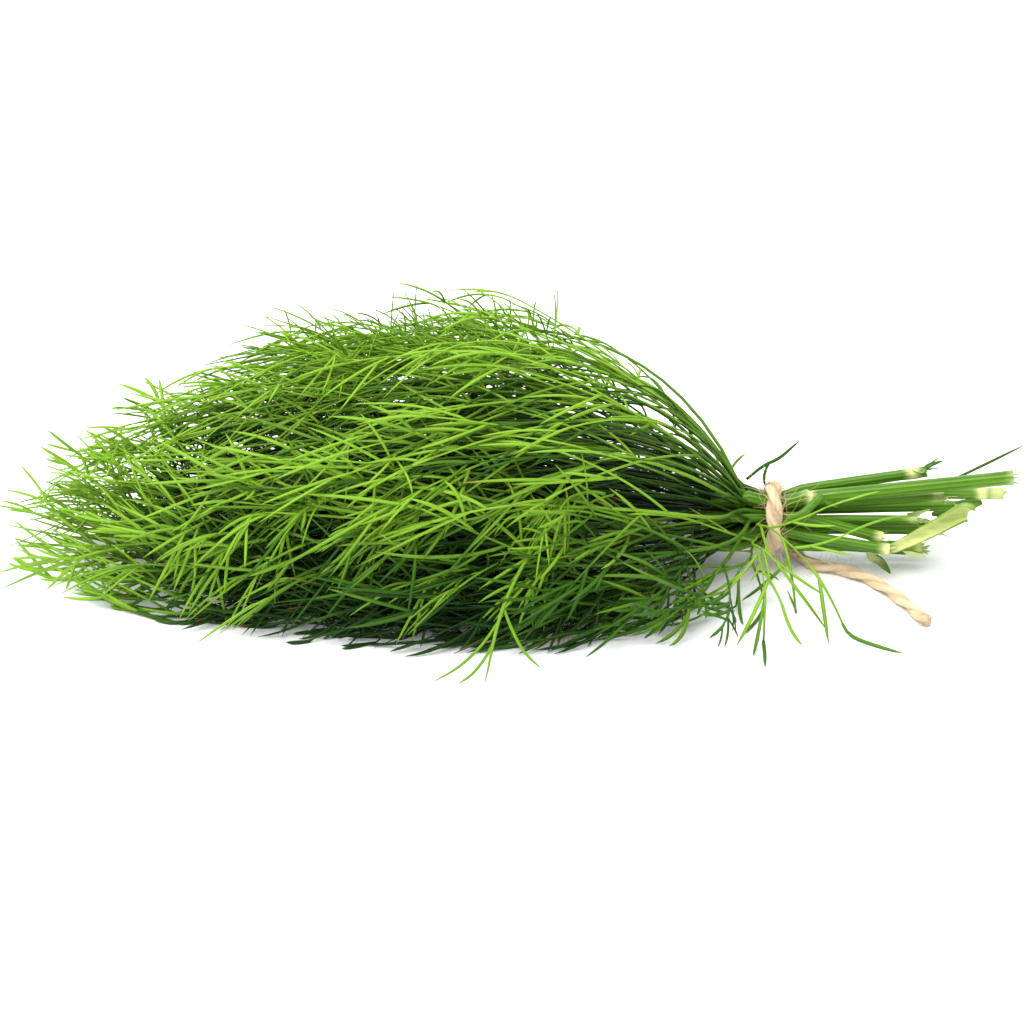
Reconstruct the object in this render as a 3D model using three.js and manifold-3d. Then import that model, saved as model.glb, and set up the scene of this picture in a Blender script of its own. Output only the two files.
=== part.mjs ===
// A bunch of dill lying on a flat surface: leafy crown towards -X, cut stems towards +X, tied with twine.
// Millimetres, +Z up, the surface is z = 0. Pieces are worked out from the middle of the tie, and the
// whole bunch is then centred on its own bounding box, without the free tail of the twine.
import * as THREE from "three";
import { mergeVertices } from "three/addons/utils/BufferGeometryUtils.js";
import Module from "manifold-3d";

const wasm = await Module();
wasm.setup();

// ---- Driving dimensions, mm -------------------------------------------------------------------
const CROWN_LENGTH = 168; // from the tie to the furthest leaf tip
const CROWN_HALF_WIDTH = 52;
const CROWN_RISE = 50; // from the bunch's axis to the top of the crown
const CROWN_AXIS_HEIGHT = 5; // the axis sinks to this as the crown opens
const STEM_REACH = 51; // from the tie to the furthest cut end
const STEM_DIAMETER = 2.3; // of a plain stem where it stands free
const STEM_PINCH = 0.86; // of that diameter, where the twine squeezes it
const MAIN_STEM_DIAMETER = 3.0;
const THIN_STEM_DIAMETER = 1.8;
const RACHIS_DIAMETER = 1.2; // the midrib of a leaf at its base
const RACHIS_TIP_DIAMETER = 0.6;
const LEAFLET_DIAMETER = 1.0;
const TWINE_DIAMETER = 2.7;
const WRAP_WIDTH = 3.4; // the pulled twine is flattened against the stems
const WRAP_THICKNESS = 2.0;
const WRAP_LEAN = 3; // degrees, about the line of sight from the front
const TAIL_CLEARANCE = 0.05; // under the tail, over the surface
const GAP = 0.3; // between pieces that touch
const KNOT_LOBE_RADIUS = 2.5;

// ---- The bundle of stems at the tie -----------------------------------------------------------
const INNER_STEMS = 5;
const OUTER_STEMS = 9;
const BULGE = 1.4; // a ring of stems opens by this factor just beside the twine
const BULGE_DISTANCE = 7;
const STEM_TOP_END = 13.5; // stems reach this far into the crown, where their leaves begin

const pinchedDiameter = STEM_DIAMETER * STEM_PINCH;
const innerRing = (pinchedDiameter + GAP) / (2 * Math.sin(Math.PI / INNER_STEMS));
const outerRing = innerRing + (pinchedDiameter + MAIN_STEM_DIAMETER * STEM_PINCH) / 2 + GAP;
const bundleRadius = outerRing + (MAIN_STEM_DIAMETER * STEM_PINCH) / 2;
const wrapInner = bundleRadius + GAP;
const wrapOuter = wrapInner + WRAP_THICKNESS;
const wrapLift = TAIL_CLEARANCE + TWINE_DIAMETER; // the tail runs under the stems
const axisHeight = wrapOuter + wrapLift;
const pinchHalf = WRAP_WIDTH / 2 + GAP; // stems run straight for this far on each side of the tie

// ---- The crown: rings of leaves round the axis ------------------------------------------------
const OUTER_LEAVES = 11;
const OUTER_LEAF_START = 8;
const leafRing = outerRing * BULGE + STEM_DIAMETER / 2 + GAP + RACHIS_DIAMETER / 2;
const MIDDLE_SCALE = (outerRing * BULGE) / leafRing;
const INNER_SCALE = (innerRing * BULGE) / leafRing;
const CROWN_OPENING = 15; // distance in which the crown opens to two thirds of its width
const WIDTH_TAPER = 0.85;
const WIDTH_TAPER_POWER = 3;
const RISE_TAPER = 0.78;
const RISE_TAPER_POWER = 3.2;
const RISE_OPENING_POWER = 1.4; // the crown rises a little later than it widens

const leafFloor = RACHIS_DIAMETER / 2 + 0.11; // height of the lowest midribs' middles
const radians = THREE.MathUtils.degToRad;
const lerp = THREE.MathUtils.lerp;
const ramp = (distance) => 1 - Math.exp(-Math.max(distance, 0) / CROWN_OPENING);

// A point of the crown: distance left of the tie, ring scale, angle round the axis (0 = back, 90 = up)
// and the distance at which that ring starts to open.
function crownPoint(distance, scale, angle, opening) {
  const t = Math.min(distance / CROWN_LENGTH, 1);
  const open = ramp(distance - opening);
  const fullWidth = CROWN_HALF_WIDTH * (1 - WIDTH_TAPER * t ** WIDTH_TAPER_POWER);
  const fullRise = CROWN_RISE * (1 - RISE_TAPER * t ** RISE_TAPER_POWER);
  const width = lerp(leafRing, fullWidth, open);
  const rise = lerp(leafRing, fullRise, open ** RISE_OPENING_POWER);
  const axis = lerp(axisHeight, CROWN_AXIS_HEIGHT, open);
  const drop = lerp(leafRing * MIDDLE_SCALE, axis - leafFloor, open) / MIDDLE_SCALE;
  const up = Math.sin(angle);
  return new THREE.Vector3(
    -distance,
    scale * width * Math.cos(angle),
    axis + scale * up * (up > 0 ? rise : drop),
  );
}

// ---- Solids -----------------------------------------------------------------------------------
function solidOf(geometry) {
  const bare = geometry.clone();
  bare.deleteAttribute("normal");
  bare.deleteAttribute("uv");
  const merged = mergeVertices(bare, 1e-4);
  return new wasm.Manifold(
    new wasm.Mesh({
      numProp: 3,
      vertProperties: merged.attributes.position.array,
      triVerts: new Uint32Array(merged.index.array),
    }),
  );
}

function geometryOf(solid) {
  const mesh = solid.getMesh();
  return new THREE.BufferGeometry()
    .setAttribute("position", new THREE.BufferAttribute(mesh.vertProperties, 3))
    .setIndex(new THREE.BufferAttribute(mesh.triVerts, 1));
}

// An upright bar or cone of unit height and radius, bent along a curve. Its radius is multiplied by a
// function of the way along it, and its section may be flattened across.
function bend(bar, curve, steps, radiusAt) {
  const frames = curve.computeFrenetFrames(steps, false);
  const place = bar.attributes.position;
  const point = new THREE.Vector3();
  for (let i = 0; i < place.count; i++) {
    const along = place.getY(i) + 0.5;
    const step = Math.round(along * steps);
    const radius = radiusAt(along);
    curve.getPointAt(along, point);
    point.addScaledVector(frames.normals[step], place.getX(i) * radius);
    point.addScaledVector(frames.binormals[step], -place.getZ(i) * radius);
    place.setXYZ(i, point.x, point.y, point.z);
  }
  return bar;
}

const bentBar = (curve, radiusAt, sides, steps) =>
  bend(new THREE.CylinderGeometry(1, 1, 1, sides, steps), curve, steps, radiusAt);
const bentThorn = (curve, radius, sides, steps) =>
  bend(new THREE.ConeGeometry(1, 1, sides, steps), curve, steps, () => radius);

const smooth = (points) => new THREE.CatmullRomCurve3(points, false, "catmullrom", 0.5);
const taper = (from, to) => (along) => lerp(from, to, along) / 2;

// ---- Materials --------------------------------------------------------------------------------
const plain = (color, roughness) =>
  new THREE.MeshStandardMaterial({ color, roughness, metalness: 0 });
const stemGreen = plain(0x6fa23c, 0.5);
const leafGreen = plain(0x4f8a22, 0.55);
const sheathGreen = plain(0xa9c96a, 0.55);
const twineTan = plain(0xe3c695, 0.9);

const bunch = new THREE.Group();

function addPiece(name, geometry, material) {
  const mesh = new THREE.Mesh(geometry, material);
  mesh.name = name;
  bunch.add(mesh);
}

const numbered = (name, index) => name + "_" + String(index + 1).padStart(2, "0");

// ---- Stems ------------------------------------------------------------------------------------
// Each stem: how far its cut end is past the tie, and where that end is beside the axis.
const outerEnds = [
  { reach: 33, aside: 1.2, up: 10.4 },
  { reach: STEM_REACH, aside: -4, up: 11.2, diameter: MAIN_STEM_DIAMETER },
  { reach: 23, aside: -7, up: -1.6 },
  { reach: 24.5, aside: -9.8, up: -3.2 },
  { reach: 32, aside: -5.2, up: -4.4 },
  { reach: 33, aside: 0.2, up: -7.9 },
  { reach: 38, aside: 6, up: -5.6 },
  { reach: 42, aside: 10, up: -1.6 },
  { reach: STEM_REACH, aside: 7, up: 2.6 },
];
const innerEnds = [
  { reach: 37, aside: -1, up: 5.4, diameter: THIN_STEM_DIAMETER },
  { reach: 31, aside: -5, up: 1.8, diameter: THIN_STEM_DIAMETER },
  { reach: 34, aside: -3, up: -1.6, diameter: THIN_STEM_DIAMETER },
  { reach: 35, aside: 2.6, up: -3, diameter: THIN_STEM_DIAMETER },
  { reach: 40, aside: 3.6, up: 1.2 },
];
const OUTER_FIRST_ANGLE = 75;
const INNER_FIRST_ANGLE = 90;

const ringPoint = (x, radius, angle) =>
  new THREE.Vector3(x, radius * Math.cos(angle), axisHeight + radius * Math.sin(angle));

function stemCurve(ring, angle, end) {
  const free = lerp(BULGE_DISTANCE, end.reach, 0.5);
  const near = ringPoint(BULGE_DISTANCE, ring * BULGE, angle);
  const tip = new THREE.Vector3(end.reach, end.aside, axisHeight + end.up);
  const middle = near.clone().lerp(tip, 0.5).setX(free);
  return smooth([
    ringPoint(-STEM_TOP_END, ring * BULGE, angle),
    ringPoint(-BULGE_DISTANCE, ring * BULGE, angle),
    ringPoint(-pinchHalf, ring, angle),
    ringPoint(pinchHalf, ring, angle),
    near,
    middle,
    tip,
  ]);
}

// Full thickness when free, squeezed under the twine.
function stemRadius(curve, diameter) {
  return (along) => {
    const away = Math.abs(curve.getPointAt(along).x) - pinchHalf;
    const freed = THREE.MathUtils.clamp(away / (BULGE_DISTANCE - pinchHalf), 0, 1);
    return (diameter / 2) * lerp(STEM_PINCH, 1, freed);
  };
}

function addStemRing(ends, ring, firstAngle, firstNumber) {
  ends.forEach((end, i) => {
    const angle = radians(firstAngle + (360 * i) / ends.length);
    const curve = stemCurve(ring, angle, end);
    const radius = stemRadius(curve, end.diameter ?? STEM_DIAMETER);
    addPiece(numbered("stem", firstNumber + i), bentBar(curve, radius, 7, 9), stemGreen);
  });
}

addStemRing(outerEnds, outerRing, OUTER_FIRST_ANGLE, 0);
addStemRing(innerEnds, innerRing, INNER_FIRST_ANGLE, OUTER_STEMS);

// ---- Leaves of the crown ----------------------------------------------------------------------
const RIB_STEPS = 10; // leaflets leave at every second step, so that they always start on the rib
const LEAFLET_SWEEP = 0.17; // how far a leaflet reaches along the leaf, of the leaf's length
const SHARE = 0.4; // of the angle between two leaves, used on each side of the midrib
const STATIONS = 8; // spans of a midrib, shorter near the tie, where the crown opens
const STATION_SPREAD = 1.3;
const BEND_ALONG = 0.45; // where a leaflet bends, of its reach and of its turn to the side
const BEND_ASIDE = 0.75;

// A leaf is a midrib along one ring and angle of the crown, with pairs of side leaflets that sweep
// forward and stay inside the leaf's own share of the ring.
function crownLeaf({ scale, angle, start, end, share, pairs }) {
  const at = (distance, turn = 0) => crownPoint(distance, scale, angle + turn, start);
  const rib = smooth(
    Array.from({ length: STATIONS + 1 }, (_, i) =>
      at(lerp(start, end, (i / STATIONS) ** STATION_SPREAD)),
    ),
  );
  const thickness = taper(RACHIS_DIAMETER, RACHIS_TIP_DIAMETER);
  let leaf = solidOf(bentBar(rib, thickness, 4, RIB_STEPS));
  const sweep = (end - start) * LEAFLET_SWEEP;
  for (let pair = 0; pair < pairs; pair++) {
    const from = rib.getPointAt((RIB_STEPS - 1 - 2 * pair) / RIB_STEPS);
    const reach = (part) => Math.min(part * sweep - from.x, CROWN_LENGTH);
    for (const turn of [-share, share]) {
      const leaflet = new THREE.QuadraticBezierCurve3(
        from,
        at(reach(BEND_ALONG), turn * BEND_ASIDE),
        at(reach(1), turn),
      );
      leaf = leaf.add(solidOf(bentThorn(leaflet, LEAFLET_DIAMETER / 2, 3, 2)));
    }
  }
  return geometryOf(leaf);
}

function addLeafRing(name, count, leafOf) {
  for (let i = 0; i < count; i++) addPiece(numbered(name, i), crownLeaf(leafOf(i)), leafGreen);
}

const outerPitch = Math.PI / (OUTER_LEAVES - 1);
const OUTER_LEAF_ENDS = [0.72, 0.8, 0.68, 0.77];
addLeafRing("leaf_outer", OUTER_LEAVES, (i) => ({
  scale: 1,
  angle: outerPitch * i,
  start: OUTER_LEAF_START,
  end: CROWN_LENGTH * OUTER_LEAF_ENDS[i % OUTER_LEAF_ENDS.length],
  share: outerPitch * SHARE,
  pairs: 4,
}));

const MIDDLE_LEAF_ENDS = [0.9, 0.84, 0.93];
const leafTopStart = STEM_TOP_END + 2 * GAP;
addLeafRing("leaf_middle", OUTER_STEMS, (i) => ({
  scale: MIDDLE_SCALE,
  angle: radians(OUTER_FIRST_ANGLE) + (2 * Math.PI * i) / OUTER_STEMS,
  start: leafTopStart,
  end: CROWN_LENGTH * MIDDLE_LEAF_ENDS[i % MIDDLE_LEAF_ENDS.length],
  share: ((2 * Math.PI) / OUTER_STEMS) * SHARE,
  pairs: 3,
}));

const INNER_LEAF_ENDS = [1, 0.96, 0.98];
addLeafRing("leaf_inner", INNER_STEMS, (i) => ({
  scale: INNER_SCALE,
  angle: radians(INNER_FIRST_ANGLE) + (2 * Math.PI * i) / INNER_STEMS,
  start: leafTopStart,
  end: CROWN_LENGTH * INNER_LEAF_ENDS[i % INNER_LEAF_ENDS.length],
  share: ((2 * Math.PI) / INNER_STEMS) * SHARE,
  pairs: 3,
}));

// ---- Short leaves by the tie ------------------------------------------------------------------
// A sprig follows its own few points; its side leaflets leave at a part of the way along, to one side
// (+1 or -1) and for a length, and end no lower than the floor of the leaves.
const SPRIG_DIAMETER = 1.1;
const SPRIG_TIP_DIAMETER = 0.5;
const LEAFLET_TURN = 30; // degrees between a sprig's rib and its leaflet
const LEAFLET_FALL = 0.25; // how much of its length a sprig's leaflet falls

function sprig(points, leaflets) {
  const rib = smooth(points.map((point) => new THREE.Vector3(...point)));
  let leaf = solidOf(bentBar(rib, taper(SPRIG_DIAMETER, SPRIG_TIP_DIAMETER), 4, 7));
  for (const { along, side, length } of leaflets) {
    const from = rib.getPointAt(along);
    const way = rib.getTangentAt(along);
    way.setZ(0).normalize().applyAxisAngle(new THREE.Vector3(0, 0, 1), side * radians(LEAFLET_TURN));
    const tip = from.clone().addScaledVector(way, length);
    tip.z = Math.max(from.z - LEAFLET_FALL * length, leafFloor);
    const bow = from.clone().lerp(tip, 0.5);
    bow.z = lerp(from.z, tip.z, 0.3);
    const leaflet = new THREE.QuadraticBezierCurve3(from, bow, tip);
    leaf = leaf.add(solidOf(bentThorn(leaflet, LEAFLET_DIAMETER / 2, 3, 2)));
  }
  return geometryOf(leaf);
}

const sprigStart = leafRing + GAP; // over the stems, beside the twine
const axisUp = (angle) => axisHeight + sprigStart * Math.sin(radians(angle));
const axisAside = (angle) => sprigStart * Math.cos(radians(angle));
const skirtLeaves = [
  {
    points: [
      [-4.8, axisAside(212), axisUp(212)],
      [-8, -18, 7],
      [-13, -30, 4],
      [-17, -41, leafFloor],
    ],
    leaflets: [
      { along: 0.35, side: -1, length: 16 },
      { along: 0.5, side: 1, length: 15 },
      { along: 0.68, side: -1, length: 12 },
    ],
  },
  {
    points: [
      [-4.2, axisAside(190), axisUp(190)],
      [-4, -20, 11],
      [-3, -35, 6],
      [-2, -49, leafFloor],
    ],
    leaflets: [
      { along: 0.4, side: 1, length: 15 },
      { along: 0.52, side: -1, length: 14 },
      { along: 0.7, side: 1, length: 12 },
    ],
  },
  {
    points: [
      [-3.8, axisAside(167), axisUp(167)],
      [1, -18, 14],
      [8, -30, 9],
      [14, -41, leafFloor],
    ],
    leaflets: [
      { along: 0.45, side: 1, length: 14 },
      { along: 0.6, side: -1, length: 12 },
    ],
  },
  {
    points: [
      [-4.8, axisAside(-32), axisUp(-32)],
      [-8, 20, 8],
      [-7, 33, 4],
      [-2, 44, leafFloor],
    ],
    leaflets: [
      { along: 0.35, side: 1, length: 15 },
      { along: 0.5, side: -1, length: 15 },
      { along: 0.68, side: 1, length: 11 },
    ],
  },
];
skirtLeaves.forEach(({ points, leaflets }, i) =>
  addPiece(numbered("leaf_skirt", i), sprig(points, leaflets), leafGreen),
);

const topSpray = [
  [-5.2, 1.4, axisUp(90)],
  [-2.5, 1.8, axisUp(90) + 2.6],
  [1, 2.2, axisUp(90) + 5.4],
  [5.8, 2.5, axisUp(90) + 9],
];
addPiece("leaf_top_spray", sprig(topSpray, [{ along: 0.3, side: -1, length: 8 }]), leafGreen);

const strayLeaf = [
  [37, 6.4, axisHeight + 4.6],
  [45, 6.2, axisHeight + 9],
  [55, 5.6, axisHeight + 14.8],
];
addPiece("leaf_stray", sprig(strayLeaf, []), leafGreen);

// ---- Bent and torn pieces among the cut stems ---------------------------------------------------
function tornPiece(name, points, from, to) {
  const curve = smooth(points.map((point) => new THREE.Vector3(...point)));
  addPiece(name, bentBar(curve, taper(from, to), 6, 5), sheathGreen);
}

tornPiece(
  "bent_petiole",
  [
    [3.2, -7.6, axisHeight + 2.9],
    [5.6, -8.6, axisHeight + 4.4],
    [8, -7.8, axisHeight + 6.4],
    [9.6, -5.7, axisHeight + 7.6],
  ],
  1.7,
  1.5,
);
tornPiece(
  "split_stem",
  [
    [25.4, -9.9, axisHeight - 3],
    [33, -8.8, axisHeight + 0.6],
    [41, -8.4, axisHeight + 5.4],
  ],
  2.2,
  3.8,
);
tornPiece(
  "sheath_top",
  [
    [33.7, 1.3, axisHeight + 10.7],
    [36, 1.7, axisHeight + 11.2],
    [38.6, 1.4, axisHeight + 12.4],
  ],
  1.6,
  0.7,
);
tornPiece(
  "sheath_low",
  [
    [22.6, -7.1, 4.6],
    [24, -8, 2.8],
    [25.6, -8.7, 1.1],
  ],
  1.8,
  1.1,
);

// ---- Twine ------------------------------------------------------------------------------------
function wrapGeometry() {
  const sides = 8;
  const profile = Array.from({ length: sides + 1 }, (_, i) => {
    const turn = (2 * Math.PI * (i % sides)) / sides;
    return new THREE.Vector2(
      (wrapInner + wrapOuter) / 2 + (WRAP_THICKNESS / 2) * Math.cos(turn),
      (WRAP_WIDTH / 2) * Math.sin(turn),
    );
  });
  return new THREE.LatheGeometry(profile, 26)
    .rotateZ(-Math.PI / 2)
    .rotateY(radians(WRAP_LEAN))
    .translate(0, 0, axisHeight);
}

const KNOT_ANGLE = -30; // round the axis: low at the back
const KNOT_SHIFT = 1.2; // towards the cut ends
const knotRadius = wrapOuter + GAP + KNOT_LOBE_RADIUS;
const knotPlace = ringPoint(KNOT_SHIFT, knotRadius, radians(KNOT_ANGLE));

function knotGeometry() {
  const lobe = (x, up, aside) =>
    solidOf(
      new THREE.SphereGeometry(KNOT_LOBE_RADIUS, 8, 6).translate(
        knotPlace.x + x,
        knotPlace.y + aside,
        knotPlace.z + up,
      ),
    );
  const stub = smooth([
    knotPlace.clone(),
    knotPlace.clone().add(new THREE.Vector3(2.5, 3.5, 1.6)),
    knotPlace.clone().add(new THREE.Vector3(6.5, 5.4, 1.2)),
  ]);
  return geometryOf(
    lobe(-1.4, 0.3, 0)
      .add(lobe(0.6, -0.2, 0.5))
      .add(solidOf(bentBar(stub, () => TWINE_DIAMETER / 2, 8, 3))),
  );
}

// The free end leaves the knot, runs under the stems and lies on the surface to the front right.
// Each point is along, aside and the height over where the tail lies.
const tailRoute = [
  [3.5, 8.1, 1.6],
  [4.4, 6.5, 0.7],
  [5.2, 4.6, 0.2],
  [5.9, 2.4, 0],
  [6.6, 0.2, 0],
  [7.6, -1.9, 0],
  [9.2, -3.7, 0],
  [11.4, -5.0, 0],
  [13.8, -5.9, 0],
  [16.3, -7.3, 0],
  [18.8, -9.4, 0],
  [21.1, -12.1, 0],
  [23.2, -15.2, 0],
  [25.0, -18.6, 0],
  [26.6, -22.1, 0],
  [28.0, -25.6, 0],
  [29.3, -29.0, 0],
  [30.6, -32.2, 0],
];
const tailLying = TWINE_DIAMETER / 2 + TAIL_CLEARANCE;

function tailGeometry() {
  const sides = 8;
  const section = new THREE.Shape(
    Array.from({ length: sides }, (_, i) => {
      const turn = (2 * Math.PI * i) / sides;
      return new THREE.Vector2(Math.cos(turn), Math.sin(turn)).multiplyScalar(TWINE_DIAMETER / 2);
    }),
  );
  const path = smooth(tailRoute.map(([x, y, over]) => new THREE.Vector3(x, y, tailLying + over)));
  const steps = Math.ceil(path.getLength() / (2 * TWINE_DIAMETER));
  return new THREE.ExtrudeGeometry(section, { steps, extrudePath: path });
}

addPiece("twine_wrap", wrapGeometry(), twineTan);
addPiece("twine_knot", knotGeometry(), twineTan);
addPiece("twine_tail", tailGeometry(), twineTan);

// ---- Place the bunch over the middle of its own box, the tail not counted ------------------------
const box = new THREE.Box3();
for (const piece of bunch.children) {
  if (piece.name !== "twine_tail") box.expandByObject(piece);
}
bunch.position.set(-(box.min.x + box.max.x) / 2, -(box.min.y + box.max.y) / 2, -box.min.z);

export default bunch;
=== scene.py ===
import math

import bpy
import numpy as np
from bpy.props import FloatProperty, FloatVectorProperty, IntProperty, PointerProperty
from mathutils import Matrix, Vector


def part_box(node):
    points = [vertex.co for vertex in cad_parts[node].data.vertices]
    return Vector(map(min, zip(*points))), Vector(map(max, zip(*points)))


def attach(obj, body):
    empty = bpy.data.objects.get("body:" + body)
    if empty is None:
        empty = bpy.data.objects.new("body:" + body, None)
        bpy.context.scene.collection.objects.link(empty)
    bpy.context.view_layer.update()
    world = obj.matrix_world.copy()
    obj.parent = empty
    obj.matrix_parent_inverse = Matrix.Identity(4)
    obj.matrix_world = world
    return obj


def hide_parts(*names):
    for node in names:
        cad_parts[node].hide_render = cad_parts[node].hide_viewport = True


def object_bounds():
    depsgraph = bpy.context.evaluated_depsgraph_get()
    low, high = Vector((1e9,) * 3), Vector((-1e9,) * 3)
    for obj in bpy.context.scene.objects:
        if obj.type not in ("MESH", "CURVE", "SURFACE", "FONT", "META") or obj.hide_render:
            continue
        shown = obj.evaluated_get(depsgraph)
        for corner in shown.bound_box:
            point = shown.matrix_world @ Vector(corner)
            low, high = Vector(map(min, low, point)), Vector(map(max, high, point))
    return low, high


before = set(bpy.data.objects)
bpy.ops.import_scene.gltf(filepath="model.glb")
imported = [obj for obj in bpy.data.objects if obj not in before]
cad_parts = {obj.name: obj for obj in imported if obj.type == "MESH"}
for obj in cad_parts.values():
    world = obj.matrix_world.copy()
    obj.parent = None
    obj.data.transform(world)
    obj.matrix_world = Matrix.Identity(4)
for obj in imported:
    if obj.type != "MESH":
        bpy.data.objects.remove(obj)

bl_info = {
    "name": "Bunch of dill",
    "version": (1, 0, 0),
    "blender": (4, 5, 0),
    "location": "View3D > Sidebar > Dill",
    "description": "Grows the leaves, stems and twine of a tied bunch of dill round its packed frame",
    "category": "Object",
}

CAD_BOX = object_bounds()
MM = 0.001
UP = np.array([0.0, 0.0, 1.0])
TOWARDS_TIPS = np.array([-1.0, 0.0, 0.0])

# ---- What the frame gives ---------------------------------------------------------------------


def node_points(name):
    """All corners of a frame node, in metres."""
    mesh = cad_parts[name].data
    corners = np.empty(len(mesh.vertices) * 3)
    mesh.vertices.foreach_get("co", corners)
    return corners.reshape(-1, 3)


def nodes_called(prefix):
    return sorted(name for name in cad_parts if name.startswith(prefix))


WRAP_LOW, WRAP_HIGH = (np.array(corner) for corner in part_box("twine_wrap"))
TIE = (WRAP_LOW + WRAP_HIGH) / 2
WRAP_OUTSIDE = (WRAP_HIGH[2] - WRAP_LOW[2]) / 2
WRAP_MIDDLE = WRAP_OUTSIDE - 1.05 * MM
BUNDLE_RADIUS = WRAP_OUTSIDE - 2.3 * MM
CROWN_LENGTH = TIE[0] - CAD_BOX[0][0]
CROWN_HALF_WIDTH = 1.05 * CAD_BOX[1][1]
CROWN_AXIS = 5 * MM
CROWN_RISE = CAD_BOX[1][2] - 2.5 * MM
CROWN_START = 6 * MM  # from the tie to where the crown starts to open
CROWN_OPENING = 20 * MM  # distance in which it then opens to two thirds
WIDTH_TAPER, WIDTH_TAPER_POWER = 0.96, 3.4
RISE_TAPER, RISE_TAPER_POWER, RISE_OPENING_POWER = 0.85, 3, 0.9
TIP_LIMIT = CAD_BOX[0][0] - 4 * MM  # threads are cut short here
TOP_LIMIT = CAD_BOX[1][2] + 10.5 * MM  # and rise no higher than this
TOP_ROOM = 0.2  # how much further out a thread may stand on top than at the sides
END_LIFT = 4.5 * MM  # of a leaf's tip, where it ends furthest from the tie


def held(value, width, least=0.0, most=1.0):
    """A value as a share of a width, held between two limits."""
    return np.clip(value / width, least, most)


def far_along(points):
    """How far along the crown points lie, from 0 at the tie to 1 at the tips of the bunch."""
    return (TIE[0] - points[..., 0]) / CROWN_LENGTH


def crown_axis(points):
    """How far the crown has opened at each point, and the axis point that lies level with it."""
    distance = TIE[0] - points[..., 0]
    opened = 1 - np.exp(-np.maximum(distance - CROWN_START, 0) / CROWN_OPENING)
    height = TIE[2] + (CROWN_AXIS - TIE[2]) * opened
    return opened, np.stack([points[..., 0], np.full_like(height, TIE[1]), height], axis=-1)


def crown_outside(points, inner):
    """Half width and rise of the crown level with each point. They open from an inner radius at the
    tie as 1 - exp(-distance / opening) and close towards the tips as 1 - taper * far ** power."""
    far = np.clip(far_along(points), 0, 1)
    opened, _ = crown_axis(points)
    widest = CROWN_HALF_WIDTH * (1 - WIDTH_TAPER * far**WIDTH_TAPER_POWER)
    highest = CROWN_RISE * (1 - RISE_TAPER * far**RISE_TAPER_POWER)
    width = inner + (widest - inner) * opened
    rise = inner + (highest - inner) * opened**RISE_OPENING_POWER
    return width, rise


def crown_ratio(points):
    """How far points lie from the crown's axis, as a part of the way to its outside."""
    width, rise = crown_outside(points, WRAP_OUTSIDE)
    aside = points - crown_axis(points)[1]
    return np.hypot(aside[..., 1] / width, aside[..., 2] / rise)


def thinness(points):
    """Share of the threads that are missing at each point: most in the upper crown near the tie,
    where the bunch can be seen through, fewer along the rest of the top and low beside the tie."""
    missing_high, missing_low = 0.74, 0.5
    far = far_along(points)
    height = points[..., 2] / crown_outside(points, WRAP_OUTSIDE)[1]
    high = held(height - 0.4, 0.3) * held(0.6 - far, 0.3, least=0.5)
    low = held(0.35 - height, 0.2) * held(0.4 - far, 0.2)
    return missing_high * high + missing_low * low


def outsideness(points):
    """From 0 well inside the crown to 1 on its outside."""
    return held(crown_ratio(points) - 0.65, 0.35)


def tone_and_painted_light_of_place(points):
    """How much fresher threads are at each point: freshest at the tips of the bunch, painted light on
    top and a little on the outside, painted shade low down, most of all halfway along."""
    fresher_tips, painted_shade_middle, painted_light_outside = 2.6, 0.24, 0.2
    far = far_along(points)
    height = points[..., 2] / CROWN_RISE
    along = np.maximum(fresher_tips * (far**3 - 0.34), 0)
    # Painted shade: deeper low down, most of all halfway along.
    middle = np.exp(-(((far - 0.42) / 0.2) ** 2))
    along = along - painted_shade_middle * middle * np.clip(1 - height, 0, 1)
    # Painted light: fresher on top and a little on the outside.
    return along + height - 0.5 + painted_light_outside * (outsideness(points) - 0.7)


def painted_inside_shade(points):
    """Painted shade: how deep in the bunch each point lies, less so beside the tie and at its open far
    end.
    """
    far = far_along(points)
    return np.clip(1 - crown_ratio(points), 0, 1) * (
        np.clip(1.1 - far, 0, 0.6) / 0.6 * np.clip(0.66 + far, 0, 1)
    )


def line_through(name, count, reach, far_reach=0.0):
    """The middle line of a long node that runs along X: at each place, a straight line fitted through
    the corners near it, each weighted by exp(-(its distance along X / reach) ** 2 / 2). Away from
    the twine, the reach grows by the far reach."""
    corners = node_points(name)
    x = corners[:, 0]
    places = np.linspace(x.min(), x.max(), count)
    reach = reach + far_reach * held(np.abs(places - TIE[0]) - 8 * MM, 8 * MM)
    weight = np.exp(-(((places[:, None] - x) / reach[:, None]) ** 2) / 2)
    weight /= weight.sum(1, keepdims=True)
    mean = weight @ corners
    spread = weight @ x**2 - mean[:, 0] ** 2
    slope = (weight @ (x[:, None] * corners) - mean[:, :1] * mean) / spread[:, None]
    line = mean + slope * (places - mean[:, 0])[:, None]
    gaps = np.linalg.norm(corners[:, None] - line[None], axis=2).min(1)
    return line, np.median(gaps)


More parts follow.
